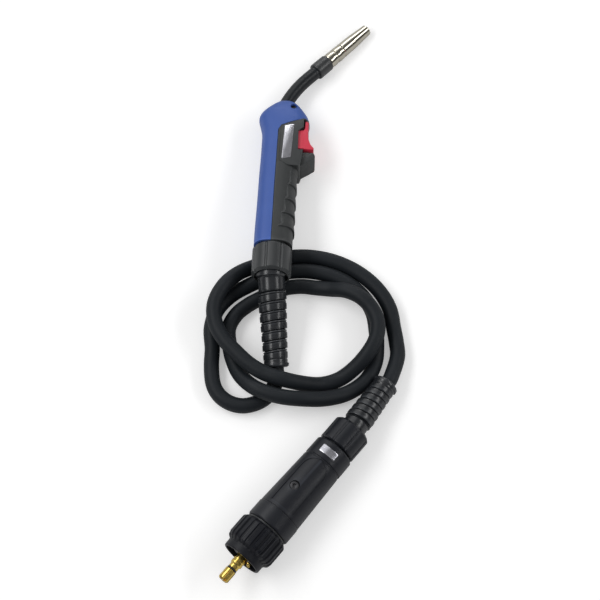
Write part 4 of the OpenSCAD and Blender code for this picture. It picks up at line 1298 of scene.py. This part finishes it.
# ---------------------------------------------------------------- the plug
@dataclass
class PlugHousing:
    """The plug's black two-part housing with its sunk grip panel, screw and rear plate."""

    start: float = 37.5
    length: float = 101.5
    front_radius: float = 23.0
    rear_radius: float = 20.5
    wall: float = 2.6
    spigot_radius: float = 15.45
    spigot_length: float = 17.0
    neck_radius: float = 15.0
    cable_bore: float = CABLE_BORE
    ball_y: float = PLUG_BALL_Y
    ball_radius: float = 13.3
    step: float = 17.5
    ring_length: float = 20.0
    panel_from: float = 4.0
    panel_to: float = 80.0
    panel_half: float = 13.0
    panel_depth: float = 0.6
    plate_from: float = 124.6
    plate_to: float = 132.4
    plate_half_turn: float = 25.0
    plate_thickness: float = 0.5
    screw: Point = (-4.0, 82.5)
    screw_radius: float = 4.3
    seat_floor: float = 14.0
    seam_gap: float = 0.3
    beyond: float = 40.0

    def form(self) -> BMesh:
        """The whole hollow form: front ring, taper, rear ring and spigot, with the ball's socket inside."""
        s, e, f, r, w = self.start, self.start + self.length, self.front_radius, self.rear_radius, self.wall
        ring, tip, ball, step = e - self.ring_length, e + self.spigot_length, self.ball_radius + 0.3, s + self.step
        outside = [
            (self.neck_radius, s), (f - 0.9, s, 0.7), (f, s + 1.6, 1.2), (f - 0.05, step - 0.7, 0.25),
            (f - 0.85, step - 0.3, 0.15), (f - 0.85, step + 0.3, 0.15), (f - 0.5, step + 0.8, 0.3),
            (r, ring - 1.4, 0.5), (r - 0.8, ring - 0.7, 0.25), (r - 0.8, ring + 0.6, 0.25),
            (r + 0.1, ring + 1.2, 0.4), (r - 0.1, e - 1.6, 1.0), (r - 1.4, e, 0.6), (self.spigot_radius, e),
            (self.spigot_radius, tip)]
        socket = [(math.sqrt(ball * ball - (self.ball_y - tip + k) ** 2), tip - k) for k in range(0, 7, 2)]
        inside = [
            (self.cable_bore, self.ball_y - 12), (self.cable_bore, e - 4), (r - 0.8 - w, e - 4),
            (r - 0.8 - w, ring), (f - 1 - w, s + w), (self.neck_radius, s + w)]
        return turned(rounded([*outside, *socket, *inside]), steps=128)

    def panel(self) -> BMesh:
        """The tool that sinks the grip panel: straight near end, round far end."""
        low, high, half = self.start + self.step + self.panel_from, self.start + self.panel_to, self.panel_half
        outline = [(-half, low), (half, low)]
        for a in [math.pi * k / 24 for k in range(25)]:
            outline.append((half * math.cos(a), high - half + half * math.sin(a)))
        ring = self.start + self.length - self.ring_length
        keep = rod(self.start + self.step, ring, self.front_radius - 0.5 - self.panel_depth,
                   self.rear_radius - self.panel_depth, segments=128)
        return carved(prism(outline, 0, self.beyond), [(keep, Cut.AWAY)])

    def seat(self) -> list[tuple[BMesh, Cut]]:
        """Tools that sink the ring-shaped seat of the screw."""
        lie = Matrix.Translation((*self.screw, self.seat_floor)) @ UPRIGHT
        return [(placed(rod(0, 20, self.screw_radius + 0.6), lie), Cut.AWAY)]

    def plate(self) -> BMesh:
        """The bare curved plate on the rear ring."""
        bm, hidden = sheet(across=36, along=6)
        for v in bm.verts:
            angle = 2 * v.co.x * math.radians(self.plate_half_turn)
            far = self.plate_from + (self.plate_to - self.plate_from) * (v.co.y + 0.5)
            radius = self.rear_radius + 0.1 + (0.0 if v in hidden else self.plate_thickness)
            v.co = Vector((radius * math.sin(angle), far, radius * math.cos(angle)))
        return soften(facing_out(bm), width=0.15, angle=60.0)

    def build(self, frame: dict) -> list[bpy.types.Object]:
        """Makes the housing.

        Args:
            frame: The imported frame.

        Returns:
            Its pieces.
        """
        wide, far, gap = self.beyond, self.start + self.length + self.beyond, self.seam_gap / 2
        upper = carved(self.form(), [
            (self.panel(), Cut.AWAY), *self.seat(), (block((-wide, 0, gap), (wide, far, wide)), Cut.COMMON)])
        lower = carved(self.form(), [(block((-wide, 0, -wide), (wide, far, -gap)), Cut.COMMON)])
        return [
            piece("housing_top", upper, PLUG.matrix(), "root", PLUG_BLACK, ("plug_housing_upper",)),
            piece("housing_bottom", lower, PLUG.matrix(), "root", PLUG_BLACK,
                  ("plug_housing_lower",)),
            refined(frame, "plug_screw", "root", SCREW_BLACK, 0.3),
            piece("rear_plate", self.plate(), PLUG.matrix(), "root", BARE_PLATE, ("plug_plate",)),
        ]


@dataclass
class CentralConnector:
    """The fluted central nut with its cup, the insulating face, the brass stem and the contact pins."""

    radius: float = 25.2
    collar: float = 20.5
    length: float = 35.5
    ribs: int = 24
    rib_rise: float = 1.5
    rib_parts: int = 6
    rib_steps: int = 14
    ribs_from: float = 8.0
    flute_from: float = 3.4
    flute_flank: float = 1.7
    shallow: float = 0.35
    cup: float = 18.0
    cup_depth: float = 27.3
    sleeve: float = 15.0
    face_radius: float = 12.5
    face_front: float = 3.0
    flange_start: float = 24.0
    stem: float = 6.0
    stem_core: float = 5.0
    stem_neck: float = 3.4
    stem_bore: float = 2.25
    stem_reach: float = 12.0
    stem_back: float = 41.0
    liner_nut: float = 5.4
    liner_nut_bore: float = 1.2
    liner_nut_length: float = 12.4
    liner_nut_gap: float = 1.8
    slot_turns: tuple[float, ...] = (0, 60, 120)
    flat_depth: float = 0.45
    spacer: Corners = ((15.1, 35.8), (21.0, 35.8, 0.3), (21.0, 37.2, 0.3), (15.1, 37.2))
    pin: float = 1.8
    pin_x: float = 9.0
    pin_gap: float = 7.2
    pin_front: float = -1.5
    pin_back: float = 13.0

    def press(self, radius: float, far: float, angle: float) -> Point:
        """Sinks the flutes between the ribs of a point on the outer side."""
        if radius < self.collar + 0.2 or far < self.ribs_from - 0.5:
            return radius, far
        flute = smooth((near(angle, 360.0 / self.ribs) - self.flute_from) / self.flute_flank)
        deep = self.rib_rise * (self.shallow + (1 - self.shallow) * smooth((far - self.ribs_from) / 4.5))
        front = smooth((far - self.ribs_from) / 5.0)
        return max(radius - flute * deep, self.collar + 0.2 * front), far

    def nut(self) -> bpy.types.Object:
        """The fluted nut with its thick-rimmed front collar."""
        r, c, cup, end = self.radius, self.collar, self.cup, self.length
        outline = rounded([
            (cup, 0.0, 0.5), (c - 0.5, 0.0, 0.6), (c, 1.2, 0.8), (c, 6.6, 1.0), (c + 0.5, 8.2, 0.8),
            (r - 1.0, 10.6, 1.4), (r, 14.0, 2.5), (r, end - 3.0, 2.0), (r - 2.8, end, 1.0),
            (self.sleeve + 2, end, 0.6), (self.sleeve + CLEAR, end - 2), (self.sleeve + CLEAR, self.cup_depth),
            (cup, self.cup_depth)])
        fine = []
        for a, b in zip(outline, outline[1:] + outline[:1]):
            parts = self.rib_parts if abs(b[1] - a[1]) > 8 and a[0] > c else 1
            fine += [(a[0] + (b[0] - a[0]) * k / parts, a[1] + (b[1] - a[1]) * k / parts) for k in range(parts)]
        bm = reshaped(turned(fine, self.ribs * self.rib_steps), self.press)
        return piece("central_nut", bm, PLUG.matrix(), "euro_nut", CONNECTOR_BLACK, ("euro_nut",), 48.0)

    def stem_piece(self) -> bpy.types.Object:
        """The brass stem."""
        front, bore, neck, core, r = -self.stem_reach, self.stem_bore, self.stem_neck, self.stem_core, self.stem
        tip = front - self.liner_nut_length + 2
        outline = rounded([
            (bore, tip), (neck, tip, 0.3), (neck, front), (r - 1.2, front, 0.4), (r - 1.2, -8.6, 0.6),
            (r, -7.2, 0.5), (r, -5.0, 0.2), (r - 0.35, -4.6, 0.1), (r - 0.35, -3.9, 0.1), (r, -3.5, 0.2),
            (r, self.face_front), (core, self.face_front), (core, self.stem_back), (bore, self.stem_back)])
        return piece("brass_stem", turned(outline, steps=80), PLUG.matrix(), "root", BRASS, ("plug_stem",))

    def flatten(self, radius: float, far: float, angle: float) -> Point:
        """Presses the flats of the liner nut into a point on its outer side."""
        if radius <= self.liner_nut - 1.3:
            return radius, far
        return radius - self.flat_depth * (1 - smooth(near(angle, 36.0) / 7.0)), far

    def liner_nut_piece(self) -> bpy.types.Object:
        """The slotted liner nut at the stem's end."""
        back, r = -self.stem_reach - self.liner_nut_gap, self.liner_nut
        hole, inner = self.liner_nut_bore, self.stem_neck + CLEAR
        front, floor = back - self.liner_nut_length, -self.stem_reach - self.liner_nut_length + 1.7
        outline = rounded([
            (hole, front), (r - 1.2, front, 0.4), (r, front + 1.4, 0.5), (r, back - 0.5, 0.3), (r - 0.5, back, 0.2),
            (inner, back), (inner, floor), (hole, floor)])
        slots = [(placed(block((-8, front - 1, -0.6), (8, front + 2.4, 0.6)),
                         Matrix.Rotation(math.radians(a), 4, "Y")), Cut.AWAY) for a in self.slot_turns]
        bm = carved(reshaped(turned(outline, steps=120), self.flatten), slots)
        return piece("slotted_liner_nut", bm, PLUG.matrix(), "root", BRASS, ("liner_nut",))

    def face(self) -> bpy.types.Object:
        """The insulating face with the bores of the contact pins."""
        r, front = self.face_radius, self.face_front
        outline = rounded([
            (self.stem_core + CLEAR, front), (r - 0.9, front, 0.4), (r, front + 0.9, 0.5), (r, self.flange_start),
            (self.stem_core + CLEAR, self.flange_start)])
        bores = [(placed(rod(front - 1, 23, self.pin + CLEAR, segments=32),
                         Matrix.Translation((self.pin_x, 0, side * self.pin_gap / 2))), Cut.AWAY) for side in (-1, 1)]
        bm = carved(turned(outline, steps=96), bores)
        return piece("insulating_face", bm, PLUG.matrix(), "root", COLLAR_BLACK, ("plug_face",))

    def pins(self) -> list[bpy.types.Object]:
        """The two round-nosed contact pins."""
        made = []
        for word, side in (("upper", 1), ("lower", -1)):
            nose = [(self.pin * math.sin(a), self.pin_front + self.pin * (1 - math.cos(a)))
                    for a in [math.pi / 2 * k / 8 for k in range(9)]]
            bm = turned([*nose, (self.pin, self.pin_back), (0.0, self.pin_back)], steps=32, loop=False)
            lie = PLUG.matrix() @ Matrix.Translation((self.pin_x, 0, side * self.pin_gap / 2))
            made.append(piece(f"{word}_pin", bm, lie, f"contact_pin_{word}", BRASS,
                              (f"contact_pin_{word}",)))
        return made

    def build(self, frame: dict) -> list[bpy.types.Object]:
        """Makes the connector.

        Args:
            frame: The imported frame.

        Returns:
            Its pieces.
        """
        spacer = turned(rounded(self.spacer), steps=72)
        return [
            self.nut(), self.stem_piece(), self.liner_nut_piece(), self.face(), *self.pins(),
            piece("spacer_ring", spacer, PLUG.matrix(), "root", COLLAR_BLACK),
            refined(frame, "plug_body", "root", BRASS, 0.3),
            refined(frame, "stem_ring", "root", RELIEF_RUBBER, 0.0, 60.0),
            refined(frame, "wire_liner", "root", SPRING_STEEL, 0.1),
        ]


# ---------------------------------------------------------------- studio
@dataclass
class Studio:
    """Camera, floor, lamps and world."""

    target: Spot = (-0.0145, -0.12266, 0.0)
    elevation: float = 68.0
    distance: float = 1.4
    lens: float = 81.48
    sensor: float = 36.0
    clip: Point = (0.05, 20.0)
    floor_size: float = 3.0
    floor_colour: float = 0.80
    floor_rough: float = 0.9
    floor_gloss: float = 0.1
    floor_lift: float = 0.36
    world_fill: float = 0.42
    belt: tuple[Point, ...] = ((0.22, 0.12), (0.5, 0.10), (0.66, 0.16), (0.8, 0.18), (0.9, 0.18))
    belt_ends: Point = (0.8, 0.35)
    panel_way: Spot = (-0.30, 0.75, 0.58)
    panel_edge: Point = (0.84, 0.93)
    panel_level: float = 1.05
    lamps: tuple[tuple[str, Spot, float, Point, bool], ...] = (
        ("key", (-1.1, 0.0, 1.42), 14.0, (1.8, 0.5), True), ("fill", (1.28, 0.0, 1.15), 8.0, (1.6, 0.36), True),
        ("rim", (0.15, 1.5, 0.85), 3.2, (0.9, 0.24), False))

    def build_camera(self) -> None:
        """Places the camera."""
        data = bpy.data.cameras.new("camera")
        data.lens, data.sensor_width, (data.clip_start, data.clip_end) = self.lens, self.sensor, self.clip
        obj = linked("camera", data)
        up = math.radians(self.elevation)
        obj.location = Vector(self.target) + self.distance * Vector((0.0, -math.cos(up), math.sin(up)))
        obj.rotation_euler = (math.radians(90 - self.elevation), 0.0, 0.0)
        bpy.context.scene.camera = obj

    def lamp(self, name: str, spot: Spot, power: float, size: Point, lights: bool) -> None:
        """Hangs one soft strip lamp that looks at the target.

        Args:
            name: The lamp's name.
            spot: Where it hangs.
            power: Its power in watts.
            size: Its level side and its other side in metres.
            lights: Whether it lights matt surfaces, or shows in gloss alone.
        """
        data = bpy.data.lights.new(name, "AREA")
        data.shape, data.energy, (data.size, data.size_y) = "RECTANGLE", power, size
        obj = linked(name, data)
        obj.location, obj.visible_diffuse = spot, lights
        obj.rotation_euler = (Vector(self.target) - Vector(spot)).to_track_quat("-Z", "Y").to_euler()

    def build_floor(self) -> None:
        """Lays the pale floor."""
        bm = bmesh.new()
        bmesh.ops.create_grid(bm, x_segments=1, y_segments=1, size=self.floor_size)
        obj = linked("floor", mesh_of("floor", bm))
        mat = bpy.data.materials.new("floor_pale")
        mat.use_nodes = True
        shader = mat.node_tree.nodes["Principled BSDF"]
        path, lift = add_nodes(mat.node_tree, "LightPath", "MapRange")
        preset(
            (shader, "Base Color", grey(self.floor_colour)), (shader, "Roughness", self.floor_rough),
            (shader, "Specular IOR Level", self.floor_gloss), (shader, "Emission Color", grey(1.0)),
            (lift, "To Max", self.floor_lift))
        wire(mat.node_tree, (path, "Is Camera Ray", lift, "Value"), (lift, "Result", shader, "Emission Strength"))
        obj.data.materials.append(mat)

    def build_world(self) -> None:
        """Lights the world plainly, white to the camera, with a darker belt that gives gloss its contrast."""
        world = bpy.data.worlds.new("studio")
        bpy.context.scene.world = world
        world.use_nodes = True
        tree = world.node_tree
        back = tree.nodes["Background"]
        path, place, parts, belt, facing, panel, both, gloss, seen = add_nodes(
            tree, "LightPath", "TexCoord", "SeparateXYZ", "ValToRGB", "VectorMath", "MapRange", "Math", "Mix", "Mix")
        ramp = belt.color_ramp
        ramp.interpolation = "EASE"
        for stop, spot, level in zip(list(ramp.elements), (0.0, 1.0), self.belt_ends):
            stop.position, stop.color = spot, grey(level)
        for spot, level in self.belt:
            ramp.elements.new(spot).color = grey(level)
        facing.operation, panel.interpolation_type = "DOT_PRODUCT", "SMOOTHSTEP"
        preset(
            (back, "Color", grey(1.0)), (facing, 1, Vector(self.panel_way).normalized()),
            (panel, "From Min", self.panel_edge[0]), (panel, "From Max", self.panel_edge[1]),
            (panel, "To Max", self.panel_level), (gloss, "A", self.world_fill), (seen, "B", 1.0))
        wire(
            tree, (place, "Generated", parts, 0), (parts, "Z", belt, "Fac"), (path, "Is Glossy Ray", gloss, "Factor"),
            (place, "Generated", facing, 0), (facing, "Value", panel, "Value"), (belt, "Color", both, 0),
            (panel, "Result", both, 1), (both, 0, gloss, "B"), (path, "Is Camera Ray", seen, "Factor"),
            (gloss, "Result", seen, "A"), (seen, "Result", back, "Strength"))

    def build(self) -> None:
        """Makes the whole studio."""
        self.build_camera()
        self.build_floor()
        self.build_world()
        for row in self.lamps:
            self.lamp(*row)
        bpy.context.scene.view_settings.view_transform = "Standard"


# ---------------------------------------------------------------- making everything
def build_plug(frame: dict) -> list[bpy.types.Object]:
    """Makes everything that hangs on the cable's far end.

    Args:
        frame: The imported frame.

    Returns:
        Its pieces.
    """
    made = CentralConnector().build(frame) + PlugHousing().build(frame)
    made.append(UnionNut(
        "housing_nut", "plug_union_nut", PLUG, start=140.5, end=167.5, radius=19.5,
        bore=((15.3, 167.5), (13.6, 162.5), (13.6, 158.5), (15.5, 158.5), (15.5, 140.5)), finish=PLUG_BLACK,
        rear_bevel=1.4, front_bevel=2.2).build())
    made.append(BendRelief(
        "plug_sleeve", "plug_relief", PLUG_RELIEF, reach=PLUG_RELIEF_LENGTH, ball=13.3, collar=12.5,
        first_rib=13.9, mouth=12.0, grooves=6).build())
    made += [sprung(frame, f"contact_spring_{side}", PLUG.way(0, -1, 0))
             for side in ("upper", "lower")]
    return made


def build_torch(frame: dict) -> None:
    """Makes the torch itself.

    Args:
        frame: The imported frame.
    """
    head = TorchHead()
    for part in (head.neck, head.collar, head.nozzle):
        part()
    Handle().build(frame)
    TriggerSet().build(frame)
    UnionNut(
        "handle_union_nut", "handle_nut", TORCH, start=-33.5, end=-1.5, radius=20.3,
        bore=((17.0, -1.5), (17.0, -28.5), (16.4, -28.5), (16.4, -31.5), (17.5, -33.5))).build()
    BendRelief(
        "handle_sleeve", "handle_relief", RELIEF, reach=RELIEF_LENGTH, ball=16.1, collar=13.6,
        first_rib=14.3, mouth=12.0, grooves=7).build()
    for node, finish, slot, width in (
            ("contact_tip", COPPER, "copper", 0.2), ("gas_diffuser", BRASS, "brass", 0.15),
            ("neck_clamp", BRASS, "brass", 0.4)):
        refined(frame, node, "root", finish, width)
    sprung(frame, "trigger_spring", TORCH.way(1, 0, 0))
    for node, finish in (("neck_conductor", COPPER), ("nozzle_spring", SPRING_STEEL)):
        dress(frame, node, finish)


def main() -> None:
    """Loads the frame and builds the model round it."""
    logging.basicConfig(level=logging.INFO, format="%(name)s: %(message)s")
    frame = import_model()
    Studio().build()
    plug = build_plug(frame)
    Cable().build(plug)
    build_torch(frame)


if __name__ == "__main__":
    main()
